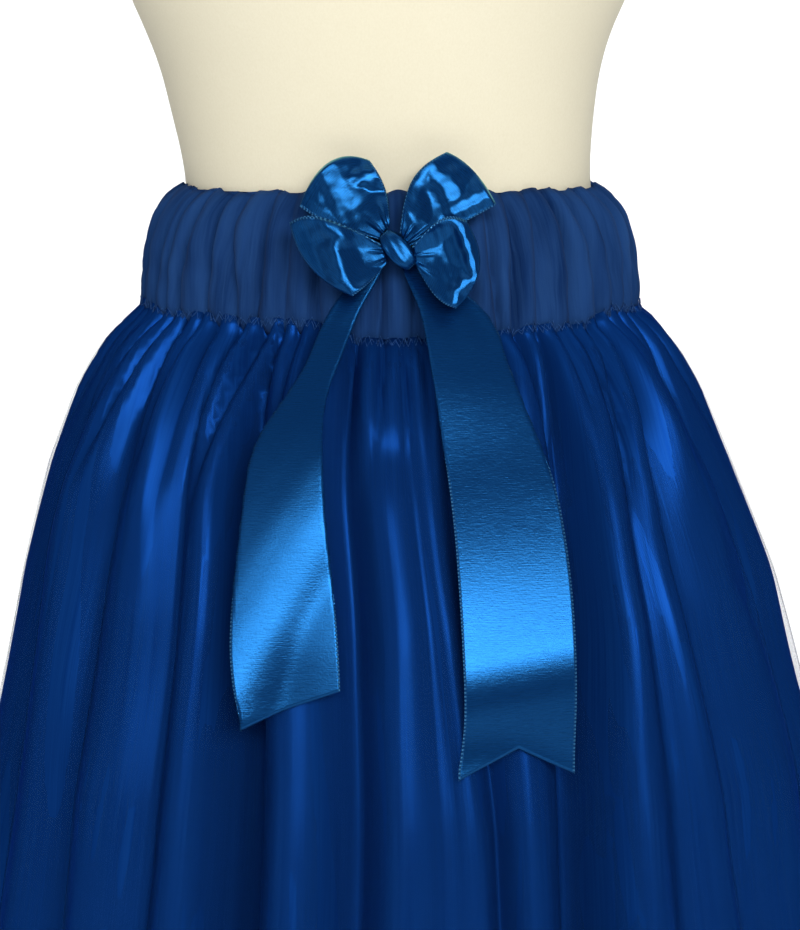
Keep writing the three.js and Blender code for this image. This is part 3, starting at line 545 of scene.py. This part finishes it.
def ribbon_material():
    m = Material("ribbon", Roughness=0.28, Metallic=0.66, Specular_IOR_Level=0.85, Anisotropic=0.72,
                 Specular_Tint=(0.15, 1, 1, 1))
    m.set("Tangent", m.node("Tangent", {"direction_type": "UV_MAP", "uv_map": "flat"}).outputs[0])
    tone = m.noise(m.flat((14, 10, 1)), 2, 0.5)
    threads = m.noise(m.flat((120, 2600, 1)), 2, 0.6)
    weave = m.noise(m.flat((900, 700, 1)), 2, 0.6)
    blue = m.mix(tone, (0.0018, 0.028, 0.140), (0.0028, 0.040, 0.180))
    # Selvedge: a row of small raised stitches along both edges of the ribbon.
    half = RIBBON_WIDTH / 2 * MM
    at = m.node("SeparateXYZ", Vector=m.node("UVMap", {"uv_map": "flat"}).outputs["UV"])
    from_edge = m.math("SUBTRACT", half, m.math("ABSOLUTE", m.math("SUBTRACT", at.outputs["X"], half)))
    edge = m.spread(from_edge, 1, 0, 0.0004, 0.0011)
    beads = m.math("SINE", m.math("MULTIPLY", at.outputs["Y"], 2 * math.pi / (SELVEDGE_PITCH * MM)))
    stitch = m.math("MULTIPLY", edge, m.spread(beads, 0, 1, -0.3, 0.6))
    m.colour(m.math("MULTIPLY", stitch, 0.6), blue, (0.10, 0.36, 0.72))
    m.set("Roughness", m.spread(threads, 0.22, 0.34))
    m.bump(threads, 0.00006, 0.6)
    m.bump(weave, 0.00008, 0.6)
    m.bump(stitch, 0.0003, 0.8)
    return m.material


def thread_material():
    m = Material("seam_thread", Roughness=0.7, Specular_IOR_Level=0.15)
    twist = m.noise(m.place((700, 700, 700)), 2, 0.5)
    m.colour(twist, (0.014, 0.060, 0.21), (0.040, 0.13, 0.37))
    m.bump(twist, 0.0001, 0.6)
    return m.material


def cover_material():
    m = Material("form_cover", Roughness=0.85, Specular_IOR_Level=0.2, Sheen_Weight=0.08)
    knit = m.noise(m.place((1100, 1100, 700)), 3, 0.6)
    patches = m.noise(m.place((9, 9, 6)), 3, 0.5)
    base = m.mix(patches, (0.760, 0.700, 0.525), (0.790, 0.735, 0.565))
    m.colour(m.spread(knit, 0, 0.5, 0.35, 0.75), base, (0.715, 0.650, 0.470))
    m.set("Roughness", m.spread(knit, 0.78, 0.92))
    m.bump(knit, 0.00012, 0.35)
    return m.material


def metal_material():
    m = Material("stand_metal", Roughness=0.4, Specular_IOR_Level=0.5)
    specks = m.noise(m.place((420, 420, 420)), 3, 0.6)
    wear = m.noise(m.place((30, 30, 12)), 4, 0.6)
    m.colour(m.spread(wear, 0, 0.5, 0.45, 0.8), (0.74, 0.71, 0.64), (0.60, 0.57, 0.50))
    m.set("Roughness", m.spread(wear, 0.33, 0.52))
    m.bump(specks, 0.0001, 0.3)
    return m.material


def wood_material():
    m = Material("cap_wood", Roughness=0.45, Specular_IOR_Level=0.45)
    rings = m.node("TexWave", {"wave_type": "RINGS", "rings_direction": "X"}, Vector=m.place((1, 1, 2.5)),
                   Scale=26, Distortion=5, Detail=3, Detail_Scale=1.4)
    grain = m.noise(m.place((60, 900, 900)), 3, 0.6)
    base = m.mix(rings.outputs["Fac"], (0.42, 0.235, 0.100), (0.58, 0.36, 0.175))
    m.colour(m.spread(grain, 0, 0.5, 0.45, 0.8), base, (0.30, 0.16, 0.065))
    m.set("Roughness", m.spread(grain, 0.38, 0.55))
    m.bump(grain, 0.00015, 0.4)
    return m.material


def stage_material():
    m = Material("studio_paper", Roughness=0.9, Specular_IOR_Level=0.1)
    fibre = m.noise(m.place((160, 160, 160)), 2, 0.5)
    m.colour(fibre, (0.90, 0.90, 0.90), (0.93, 0.93, 0.93))
    return m.material


SATIN = satin_material()
TULLE = tulle_material()
BAND_CLOTH = band_material()
RIBBON = ribbon_material()
THREAD = thread_material()
COVER = cover_material()
METAL = metal_material()
WOOD = wood_material()


def put(ob, slot, *nodes):
    """Every piece rides on the one body and stands for its CAD nodes, which it hides; slot is not used."""
    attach(ob, "root")
    if nodes:
        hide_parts(*nodes)
    return ob


# ---- the skirt
rng = np.random.RandomState(SEED)


def rows_round(angle, gap, make):
    """Rows made one after another from an angle on, to the end of the back."""
    rows = []
    while angle < 268:
        rows.append(make(angle))
        angle += rng.uniform(*gap)
    return rows


def gather(angle):
    lean = rng.uniform(-2.2, 2.2)
    return angle, angle + lean, rng.uniform(104, 178), rng.uniform(2, 3.4)


def ruche(angle):
    a, b, c = rng.uniform(-2.2, 2.2, 3)
    return angle, angle + a, angle + b, angle + c, rng.uniform(1.6, 3.4)


def crease(angle):
    tall = rng.choice([-1, 1]) * rng.uniform(1, 2.4)
    middle, wide, long = rng.uniform(150, 510), rng.uniform(2.2, 5), rng.uniform(40, 120)
    return angle, middle, wide, long, rng.uniform(-5, 5), tall


GATHERS = FRONT_GATHERS + rows_round(92, (4.2, 7.6), gather)
RUCHES = FRONT_RUCHES + rows_round(92, (5.4, 9.2), ruche)
# Slow swells all over the skirt: waves round it, phase round it, run down it, phase down it.
SWELLS = [
    (rng.randint(5, 17), rng.uniform(0, 6.28), rng.uniform(120, 260), rng.uniform(0, 6.28)) for _ in range(7)
]
EVERY_CREASE = CREASES + rows_round(-88, (4, 12), crease)


def column_shares(side, fineness):
    """Fold parameters (even = trough, odd = crest) evenly spread round one half of the skirt."""
    first = 0 if side == "front" else 24
    marks = fold_angles(np.array([150]))[0][:, 0]
    shares = []
    for k in range(first, first + 24):
        count = max(4, int(round((marks[k + 1] - marks[k]) / fineness)))
        shares.extend(k + np.arange(count) / count)
    return np.array(shares + [first + 24])


def fold_angles(drops):
    """Angle and level of every trough and crest, a row each, at the drops."""
    angles = [soft(FOLD_DROPS, FOLDS[-1][1], drops, 30) - 360]
    levels = [-FOLDS[-1][3]]
    for crest, trough, rise, dip in FOLDS:
        angles.append(soft(FOLD_DROPS, crest, drops, 30))
        angles.append(soft(FOLD_DROPS, trough, drops, 30))
        levels.extend([rise, -dip])
    return np.array(angles), np.array(levels, float)


def puffs(angle, at, height, softness, wave=np.cos):
    """Broad swells and narrow valleys; `at` holds the ridges' angles with np.cos, the valleys' with np.sin."""
    out = np.empty_like(angle)
    least = softness ** 0.6
    for row in range(len(angle)):
        ridges = np.concatenate([[at[row, -1] - 360], at[row], [at[row, 0] + 360]])
        tall = np.concatenate([[height[row, -1]], height[row], [height[row, 0]]])
        after = np.clip(np.searchsorted(ridges, angle[row]), 1, len(ridges) - 1)
        share = np.clip((angle[row] - ridges[after - 1]) / (ridges[after] - ridges[after - 1]), 0, 1)
        level = ((wave(np.pi * share) ** 2 + softness**2) ** 0.3 - least) / (1 - least)
        out[row] = (tall[after - 1] * (1 - share) + tall[after] * share) * (level - CREST_LEVEL)
    return out


def gather_height(angle, drop):
    """The gathers' height: they drift sideways and die out further down. A row lies at one drop."""
    drops = drop[:, :1]
    seam, lower, fade, height = np.array(GATHERS).T
    at = seam + (lower - seam) * np.clip((drops - SEAM) / GATHER_REACH, 0, 1.6)
    up = 0.5 + 0.5 * smoothstep((drops - SEAM) / 13)
    gone = 1 - smoothstep((drops - SEAM - 8) / (fade - SEAM - 8))
    return puffs(angle, at, GATHER_SCALE * height**2 * up * gone, GATHER_SOFTNESS)


def seam_wander(angle):
    """How far the seam strays from its even sag: its steps, and a small arch over each gather."""
    around = (np.asarray(angle) + 90) % 360 - 90
    steps = np.mean([np.interp(around + k, *np.array(SEAM_STEPS).T) for k in (-2, -1, 0, 1, 2)], axis=0)
    turn = np.radians(angle)
    rows = np.atleast_2d(angle)
    seam, _, _, height = (np.repeat(column[None], len(rows), axis=0) for column in np.array(GATHERS).T)
    arch = puffs(rows, seam, height, 0.3)
    return steps + 0.5 * np.sin(turn * 13.0 + 2.4) - 0.5 * arch.reshape(np.shape(angle))


def seam_line(angle):
    """How far the seam lies below its highest place, before the skirt's fold."""
    return seam_sag(angle) + seam_wander(angle)


def crease_height(angle, drop):
    total = np.zeros_like(angle)
    for at, middle, wide, long, lean, depth in EVERY_CREASE:
        near = (angle - at - lean * (drop - middle) / long + 180) % 360 - 180
        total += depth * bell(near / wide) * bell((drop - middle) / long)
    for waves, phase, run, start in SWELLS:
        shown = smoothstep((drop - SEAM - 20) / 120)
        around, down = np.radians(angle) * waves + phase, drop / run * 2 * np.pi + start
        total += 0.5 * shown * np.sin(around) * np.sin(down)
    return total


def satin_half(lies):
    """Half the satin's width at a drop, drawn in where its edge reaches up under the band."""
    half = lookup(SKIRT, 1, np.maximum(lies, SEAM), SKIRT_ROUNDING)
    return half - SEAM_TUCK * np.clip(SEAM - lies, 0, None)


def tulle_height(angle, drop, satin, bridged):
    """The tulle lies on the satin's crests, bridges its troughs, ripples and billows at the sides."""
    around = np.radians(angle)
    blown = 0
    for at, wide, middle, long, height in BILLOWS:
        beside = np.degrees(np.arccos(np.clip(np.cos(np.radians(angle - at)), -1, 1)))
        blown = blown + height * bell(beside / wide) * bell((drop - middle) / long)
    free = smoothstep((drop - SEAM) / 40)
    first, second = satin + TULLE_GAP, bridged + TULLE_GAP + TULLE_LIFT * free + blown
    out = soft_maximum(first, second, TULLE_ROUNDING, free)
    ripple = 1 + np.sin(around * 118 + 2.5 * np.sin(drop / 61 + around * 7) + 1.5 * np.sin(around * 23))
    return out + TULLE_RIPPLE * free * ripple


def skirt_grid(side, fineness, drops, layer="satin"):
    """The folded surface of one half: rows of drops, columns round the skirt."""
    shares = column_shares(side, fineness)
    at, level = fold_angles(drops)
    low = np.minimum(shares.astype(int), 47)
    part = (shares - low)[None, :]
    angle = at[low].T * (1 - part) + at[low + 1].T * part
    rising = low % 2 == 0
    trough = np.where(rising, level[low], level[low + 1])[None, :]
    crest = np.where(rising, level[low + 1], level[low])[None, :]
    reach = np.where(rising[None, :], part, 1 - part)
    drop = np.repeat(drops[:, None], len(shares), axis=1)
    share, start, run = DEEPENING
    trough = trough * (1 + share * smoothstep((drop - start) / run))
    strays = seam_wander(angle) * (1 - smoothstep((drop - SEAM) / WANDER_FADE))
    lies = drop + np.minimum(strays, 0)
    ratio = lookup(SKIRT, 2, lies)
    shift = lookup(SKIRT, 3, drop)
    folded = lookup(SKIRT, 4, drop)

    def profile(soften):
        up = np.sqrt(np.sin(np.pi / 2 * reach) ** 2 + soften**2) - soften
        return up / (math.sqrt(1 + soften**2) - soften)

    gathers = gather_height(angle, drop)
    out = (trough + (crest - trough) * profile(0.22)) * folded + gathers + crease_height(angle, drop)
    if layer == "tulle":
        low_side = TULLE_BRIDGE * trough
        bridged = (low_side + (crest - low_side) * profile(0.4)) * folded + 0.9 * gathers
        out = tulle_height(angle, drop, out, bridged)
    mean = satin_half(lies) - CREST_ALLOWANCE * folded
    turn = np.radians(angle)
    x = shift + (mean + out) * np.sin(turn)
    y = -(mean * ratio + out) * np.cos(turn)
    fade = np.clip(1 - (drop - SEAM) / SAG_FADE, 0, 1)
    z = WAIST - drop - seam_sag(angle) * fade - strays
    return np.stack([x, y, z], axis=-1)


SATIN_DROPS = spread_rows(SEAM, HEM, 1.6, 6)
TULLE_DROPS = spread_rows(SEAM, HEM + TULLE_EXTRA, 1.8, 7)
for side in ("front", "back"):
    grid = skirt_grid(side, 0.42, SATIN_DROPS)
    satin = shell_object(f"skirt_satin_{side}", grid, SATIN_WALL, SATIN)
    put(satin, "skirt_satin", *sorted(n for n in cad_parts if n.startswith(f"satin_{side}")))
    grid = skirt_grid(side, 0.45, TULLE_DROPS, "tulle")
    tulle = put(sheet_object(f"skirt_tulle_{side}", grid, TULLE), "tulle", f"tulle_{side}")


# ---- the waistband
def form_ring(drop, angle, clearance=0):
    half, deep, shift, ahead = (lookup(FORM, k, drop, 9) for k in (1, 2, 3, 4))
    across, along = np.sin(np.radians(angle)), np.cos(np.radians(angle))
    x = shift + np.sign(across) * np.abs(across) ** FORM_POWER * (half + clearance)
    y = -ahead - np.sign(along) * np.abs(along) ** FORM_POWER * (deep + clearance)
    return np.stack([x, y, WAIST - drop + 0 * x], axis=-1)


def ruche_height(angle, share):
    """How far the band's gathers stand out at a share of the way down it; share is even along a row."""
    places = np.array([row[:4] for row in RUCHES])
    tall = np.array([row[4] for row in RUCHES])
    down = share[:, :1]
    marks = [0, 0.33, 0.66, 1]
    at = np.stack([soft(marks, row, down[:, 0], 0.15) for row in places], axis=1)
    total = puffs(angle, at, np.repeat(tall[None], len(at), axis=0) * RUCHE_SCALE, RUCHE_SOFTNESS, np.sin)
    turn = np.radians(angle)
    fine = np.sin(turn * 97 + 2.2 * np.sin(share * 4 + turn * 5))
    fine *= 0.5 + 0.5 * np.sin(turn * 11 + share * 3)
    finer = np.sin(turn * 163 - 1.8 * np.sin(share * 5 + turn * 9))
    finer *= 0.5 + 0.5 * np.sin(turn * 17 - share * 5)
    lumps = np.sin(turn * 23 + 3 * np.sin(share * 5)) * np.sin(share * 7 + turn * 9)
    return total + 0.22 * fine + 0.15 * finer + 0.6 * lumps


def band_grid(side):
    """One half of the band: its lining, its ruched face, and its foot under the satin's edge."""
    start = -90 if side == "front" else 90
    angles = np.linspace(start, start + 180, 601)
    shares = np.linspace(1, 0, 46)
    angle, share = np.meshgrid(angles, shares)
    drop = BAND_TOP + (SEAM - BAND_TOP) * share
    half = lookup(BAND, 1, drop, 3)
    ruche = ruche_height(angle, share) * lookup(BAND, 2, drop, 4)
    turn = np.radians(angle)
    x = (half + ruche) * np.sin(turn)
    y = -(half * BAND_RATIO + ruche) * np.cos(turn)
    ruffle = 0.9 * np.sin(turn * 19 + np.sin(turn * 13)) + 0.5 * np.sin(turn * 47)
    z = WAIST - drop - seam_line(angle) * share + ruffle * (1 - smoothstep(share / 0.2))
    outer = np.stack([x, y, z], axis=-1)
    foot = [
        outer[:1] * (1 - inward, 1 - inward, 1) - (0, 0, lower)
        for inward, lower in ((0.035, 7), (0.015, 2.5))
    ]
    lining = [
        form_ring(np.full_like(angles, lower), angles, clearance)
        for lower, clearance in ((-3.6, 2.4), (-1.5, 1.2), (6, 0.9), (16, 0.8))
    ]
    return np.concatenate([*foot, outer, np.array(lining)])[::-1]


for side in ("front", "back"):
    ob = shell_object(f"waistband_ruched_{side}", band_grid(side), BAND_WALL, BAND_CLOTH, step=(2, 2))
    put(ob, "waistband_cloth", f"waistband_{side}")


def seam_path(lead, start, end, count, reach, phase=0):
    """A zigzag of thread just under the seam, on top of the gathers."""
    step = np.arange(count * 2 + 1)
    angle = start + (end - start) * (step + 0.5 * np.sin(step * 0.83 + phase)) / (count * 2)
    uneven = 1 + 0.3 * np.sin(step * 1.9 + phase) + 0.2 * np.sin(step * 0.37 + 2 * phase)
    drop = SEAM + lead + np.where(step % 2 == 0, -reach, reach) * uneven
    lies = drop + np.minimum(seam_wander(angle), 0)
    skirt = satin_half(lies)
    gathers = gather_height(angle[None], np.full((1, len(angle)), SEAM + 1.5))[0] + 1.0
    share = np.clip((drop - BAND_TOP) / (SEAM - BAND_TOP), 0, 1)
    band = lookup(BAND, 1, drop, 3)
    ruched = ruche_height(angle[None], np.full((1, len(angle)), 0.97))[0]
    ratio = lookup(SKIRT, 2, lies)
    wide = np.maximum(skirt + gathers, band + ruched) + 0.35
    deep = np.maximum(skirt * ratio + gathers, band * BAND_RATIO + ruched) + 0.35
    turn = np.radians(angle)
    z = WAIST - drop - seam_line(angle) * share
    return np.stack([wide * np.sin(turn), -deep * np.cos(turn), z], axis=-1)


for side, start in (("front", -90), ("back", 90)):
    path = seam_path(1.6, start, start + 180, 150, 1.5)
    put(tube_object(f"seam_stitches_{side}", path, 0.17, 5, THREAD), "waistband_cloth")
    path = seam_path(0.6, start + 0.5, start + 179.5, 118, 1.9, 2)
    put(tube_object(f"seam_looper_{side}", path, 0.14, 5, THREAD), "waistband_cloth")


# ---- the bow
def ridge_lines(flat, lines, tilt):
    """Height over the flat bow near each line of points, with tilted tops and uneven edges."""
    total = np.zeros(flat.shape[:2])
    x, z = flat[..., 0], flat[..., 1]
    creased = 0.07 * np.sin(x * 0.6 + 1.6 * np.sin(z * 0.3))
    creased += 0.05 * np.sin(z * 0.9 - x * 0.5 + 2 * np.sin(x * 0.22))
    stray = 0.5 * np.sin(x * 0.9 + z * 0.35) + 0.4 * np.sin(z * 0.7 - x * 0.3)
    for points, reach, height, roundness, level in lines:
        points = np.array(points, float)
        nearest = np.full(flat.shape[:2], 1e9)
        for a, b in zip(points[:-1], points[1:]):
            along = np.clip(((flat - a) * (b - a)).sum(axis=-1) / ((b - a) ** 2).sum(), 0, 1)
            nearest = np.minimum(nearest, np.linalg.norm(flat - a - (b - a) * along[..., None], axis=-1))
        past = np.clip(nearest - level + stray, 0, None)
        top = height + creased + tilt * (z - points[:, 1].mean())
        total = np.maximum(total, top * np.exp(-(np.sqrt(past**2 + roundness**2) - roundness) / reach))
    return total


def loop_grid(loop, steps=110, columns=56):
    share, turn = np.meshgrid(np.linspace(0, 1, columns + 1), np.linspace(0, 2 * np.pi, steps + 1))
    first, last = np.array(loop["root"], float)
    root = first + (last - first) * share[..., None]
    heel, crown, toe = (np.array(loop[key], float) for key in ("heel", "crown", "toe"))
    bulge = (crown - (heel + toe) / 2) * 2
    bend = heel + (toe - heel) * share[..., None] + bulge * (2 * share * (1 - share))[..., None]
    reach = (1 - np.cos(turn)) / 2
    flat = root + (bend - root) * reach[..., None]
    width = (toe - heel) / np.linalg.norm(toe - heel)
    arch = loop["arch"][1] * share**2 - loop["arch"][0] * (1 - share) ** 2
    flat = flat + width * (arch * np.sin(np.pi * reach))[..., None]
    puff = np.where(turn < np.pi, loop["puff"][0], loop["puff"][1])
    swell = np.sin(turn) * np.abs(np.sin(turn / 2)) ** 1.5 * puff
    deep, phase = loop["pleats"]
    held = (1 - reach) ** (0.95 + 0.25 * np.sin(turn)) * (1 - 0.8 * np.sin(turn))
    uneven = 0.8 + 0.2 * np.cos(share * 9 + phase)
    pleats = deep * held * uneven * np.cos(share * 5 * np.pi + phase * (1 - held))
    front = smoothstep(np.sin(turn) * 3)
    raised = front * ridge_lines(flat, loop["ridges"], loop["lean"] - RIDGE_LEAN)
    filled = np.where(turn < np.pi, np.maximum(swell + pleats, raised), swell + pleats)
    ahead = loop["stack"] + filled + 1.2 * np.cos(turn / 2)
    ahead = ahead - loop["lean"] * flat[..., 1] * smoothstep(reach * 2)
    x = KNOT["x"] + flat[..., 0]
    y = KNOT["y"] - ahead
    z = WAIST - KNOT["drop"] + flat[..., 1]
    return np.stack([x, y, z], axis=-1)


def ribbon_uv(grid):
    """The ribbon's own width across, whatever the pleats do, and its length along."""
    return grid_uv(grid, np.linspace(0, RIBBON_WIDTH, grid.shape[1]))


for key, loop in LOOPS.items():
    grid = loop_grid(loop)
    ob = shell_object(f"ribbon_loop_{key}", grid, RIBBON_WALL, RIBBON, step=(2, 2), uv=ribbon_uv(grid))
    put(ob, "ribbon", f"bow_loop_{key}")


def knot_grid(steps=72, columns=26):
    """The ribbon's turn round the bow's middle: a short sleeve, its long axis leaning and its top set back."""
    along, turn = np.meshgrid(np.linspace(-1, 1, columns), np.linspace(2 * np.pi, 0, steps + 1))
    waist = np.sqrt(np.clip(1 - (along * 0.93) ** 2, 0, 1)) ** 0.8
    crease = 1 + 0.02 * np.cos(turn * 5 + along * 2.3 + 0.6) * waist
    across = KNOT["across"] * waist * crease * np.sin(turn)
    lengthwise = along * KNOT["along"]
    lean = math.radians(KNOT["lean"])
    x = KNOT["x"] + across * math.cos(lean) + lengthwise * math.sin(lean)
    up = across * math.sin(lean) - lengthwise * math.cos(lean)
    facing = np.sign(np.cos(turn)) * np.abs(np.cos(turn)) ** 0.12
    thick = np.sqrt(np.clip(1 - (along * 0.93) ** 4, 0, 1)) ** 0.8
    y = KNOT["y"] - KNOT["thick"] * thick * crease * facing + KNOT["set_back"] * up
    return np.stack([x, y, WAIST - KNOT["drop"] + up], axis=-1)


grid = knot_grid()
knot = sheet_object("ribbon_knot", grid, RIBBON, ribbon_uv(grid))
put(knot, "ribbon", "bow_knot")


def skirt_front(x, drop):
    """How far forward the band's and skirt's crests stand at x."""
    on_band = drop < SEAM
    on_skirt = lookup(SKIRT, 1, drop)
    half = np.where(on_band, soft(BAND[:, 0], BAND[:, 1] + 2.2, drop, 4), on_skirt)
    ratio = np.where(on_band, BAND_RATIO, lookup(SKIRT, 2, drop))
    shift = np.where(on_band, 0, lookup(SKIRT, 3, drop))
    return (half * ratio + CREST_SKIN) * np.sqrt(1 - ((x - shift) / (half + CREST_SKIN)) ** 2)


def tail_grid(side, columns=72, rows=140):
    table = TAILS[side]
    left_cut, notch, right_cut = TAIL_CUTS[side]
    share = np.linspace(0, 1, columns + 1)[None, :]
    end = np.where(share < 0.5, left_cut + (notch - left_cut) * share * 2,
                   notch + (right_cut - notch) * (share * 2 - 1))
    down = np.linspace(0, 1, rows)[:, None]
    drop = table[0, 0] + (end - table[0, 0]) * down
    left, right = (lookup(table, k, drop, 12) for k in (1, 2))
    skewed = drop + TAIL_SKEW[side] * (2 * share - 1) * smoothstep((drop - 60) / 80)
    fall, bend = (np.array(rows, float) for rows in TAIL_FALLS[side])
    ahead = lookup(fall, 1, skewed if side == "right" else drop, 12)
    ahead = ahead + lookup(bend, 1, skewed, 8)
    # Where the ribbon shows less than its own width, both edges are turned under.
    wide = right - left
    under = np.clip((RIBBON_WIDTH - wide) / 2, 0, 0.88 * wide)
    place = (2 * share - 1) * (wide / 2 + under)
    past = np.clip(np.abs(place) - wide / 2, 0, None)
    back = np.sqrt(past**2 + 0.5) - math.sqrt(0.5)
    middle = (left + right) / 2
    x = middle + np.sign(place) * (np.minimum(np.abs(place), wide / 2) - back)
    behind = 1.3 * smoothstep(past / 2.4)
    # The ribbon lies flat across, tilted less than the skirt is, and never under the skirt.
    slope = (skirt_front(middle + 1, drop) - skirt_front(middle - 1, drop)) / 2
    ahead = ahead + TAIL_TILT * slope * (x - middle)
    least = skirt_front(x, drop) + 1.0
    ahead = soft_maximum(ahead, least, 1.2)
    crimp = 0.4 * np.cos(share * 7 * np.pi + 0.6) * (1 - smoothstep((drop - 20) / 60))
    y = -ahead - 1.6 * smoothstep(under / 6) + behind - crimp
    grid = np.stack([x, y, WAIST - drop], axis=-1)
    along = np.interp(drop, drop[:, columns // 2], run_along(grid[:, columns // 2]))
    along += np.clip(drop - drop[-1:, columns // 2], 0, None)
    return grid, np.stack([np.broadcast_to(RIBBON_WIDTH * share, drop.shape), along], axis=-1)


for side in ("left", "right"):
    grid, uv = tail_grid(side)
    ob = shell_object(f"ribbon_end_{side}", grid, RIBBON_WALL, RIBBON, step=(2, 2), uv=uv)
    put(ob, "ribbon", f"ribbon_tail_{side}")


# ---- the dress form and its stand
def lathe(name, profile, centre, material, sides=96, oval=1, rounded=1.4):
    """Rings through a profile of (radius, height), each corner rounded over `rounded` mm."""
    profile = np.array(profile, float)
    run = run_along(profile)
    marks = np.unique((run[:, None] + rounded * np.array([-1, -0.5, 0, 0.5, 1])).ravel())
    marks = marks[(marks >= 0) & (marks <= run[-1])]
    radius = soft(run, profile[:, 0], marks, rounded)
    height = soft(run, profile[:, 1], marks, rounded)
    turn = np.linspace(0, 2 * np.pi, sides, endpoint=False)[None, :]
    x = centre[0] + radius[:, None] * np.sin(turn)
    y = centre[1] - radius[:, None] * oval * np.cos(turn)
    z = centre[2] + height[:, None] + 0 * turn
    return rings_object(name, np.stack([x, y, z], axis=-1), material)


form_drops = np.linspace(FORM[0, 0], FORM[-1, 0], 150)
form_drops = np.unique(np.concatenate([form_drops, FORM[-1, 0] - np.array([0.8, 2, 4])]))
form_angles = np.linspace(0, 360, 144, endpoint=False)
ring_angle, ring_drop = np.meshgrid(form_angles, form_drops)
torso = rings_object("form_body", form_ring(ring_drop, ring_angle), COVER)
put(torso, "form_cover", "form_torso")

for name, slot, node, centre, material, more, profile in (
    ("form_cap", "cap_wood", "form_neck_cap", (-6, -3, 1170.3), WOOD, {"oval": 52 / 54},
     [(0.5, 0), (51, 0), (54, 3), (54, 9), (51, 12), (0.5, 12)]),
    ("stand_pole", "stand_metal", "form_pole", (0, 0, 58.3), METAL, {"rounded": 1},
     [(0.5, 0), (16, 0), (16, 477.4), (0.5, 477.4)]),
    ("stand_base", "stand_metal", "form_base", (0, 0, 0), METAL, {"sides": 128},
     [(0.5, 0), (180, 0), (180, 6), (176, 10), (44, 16), (34, 24), (26, 54), (22, 58), (0.5, 58)]),
):
    put(lathe(name, profile, centre, material, **more), slot, node)


# ---- floor, light
def sweep():
    """A pale paper sweep: floor, a curve and a wall behind, in metres."""
    front, back, bend, top, half = -5, 3.2, 0.9, 4.5, 5.0
    profile = [(front, 0), (back, 0)]
    for k in range(1, 13):
        turn = math.pi / 2 * k / 12
        profile.append((back + bend * math.sin(turn), bend - bend * math.cos(turn)))
    profile.append((back + bend, top))
    points = [(x / MM, y / MM, z / MM) for y, z in profile for x in (-half, half)]
    faces = [(2 * i, 2 * i + 1, 2 * i + 3, 2 * i + 2) for i in range(len(profile) - 1)]
    return make_object("studio_sweep", points, faces, None, stage_material())


sweep()


def area_light(name, location, target, size, watts):
    data = bpy.data.lights.new(name, "AREA")
    data.shape = "RECTANGLE"
    data.size, data.size_y = size
    data.energy = watts
    ob = add(name, data)
    ob.location = location
    aim = Vector(target) - Vector(location)
    ob.rotation_euler = aim.to_track_quat("-Z", "Y").to_euler()


area_light("key", (0.38, -2.4, 1.52), (0, 0, 0.65), (1.7, 0.65), 56)
area_light("fill", (-2.2, -1.6, 1.2), (0, 0, 0.6), (1.6, 1.8), 5)
area_light("top", (0, 0.3, 2.9), (0, 0.2, 0), (2.4, 2), 16)
area_light("wall", (0, 1.9, 2.8), (0, 3.7, 0.6), (3.4, 0.8), 95)

world = bpy.data.worlds.new("studio")
world.use_nodes = True
background = world.node_tree.nodes["Background"].inputs
background["Color"].default_value = (0.90, 0.94, 1, 1)
background["Strength"].default_value = 0.24
bpy.context.scene.world = world
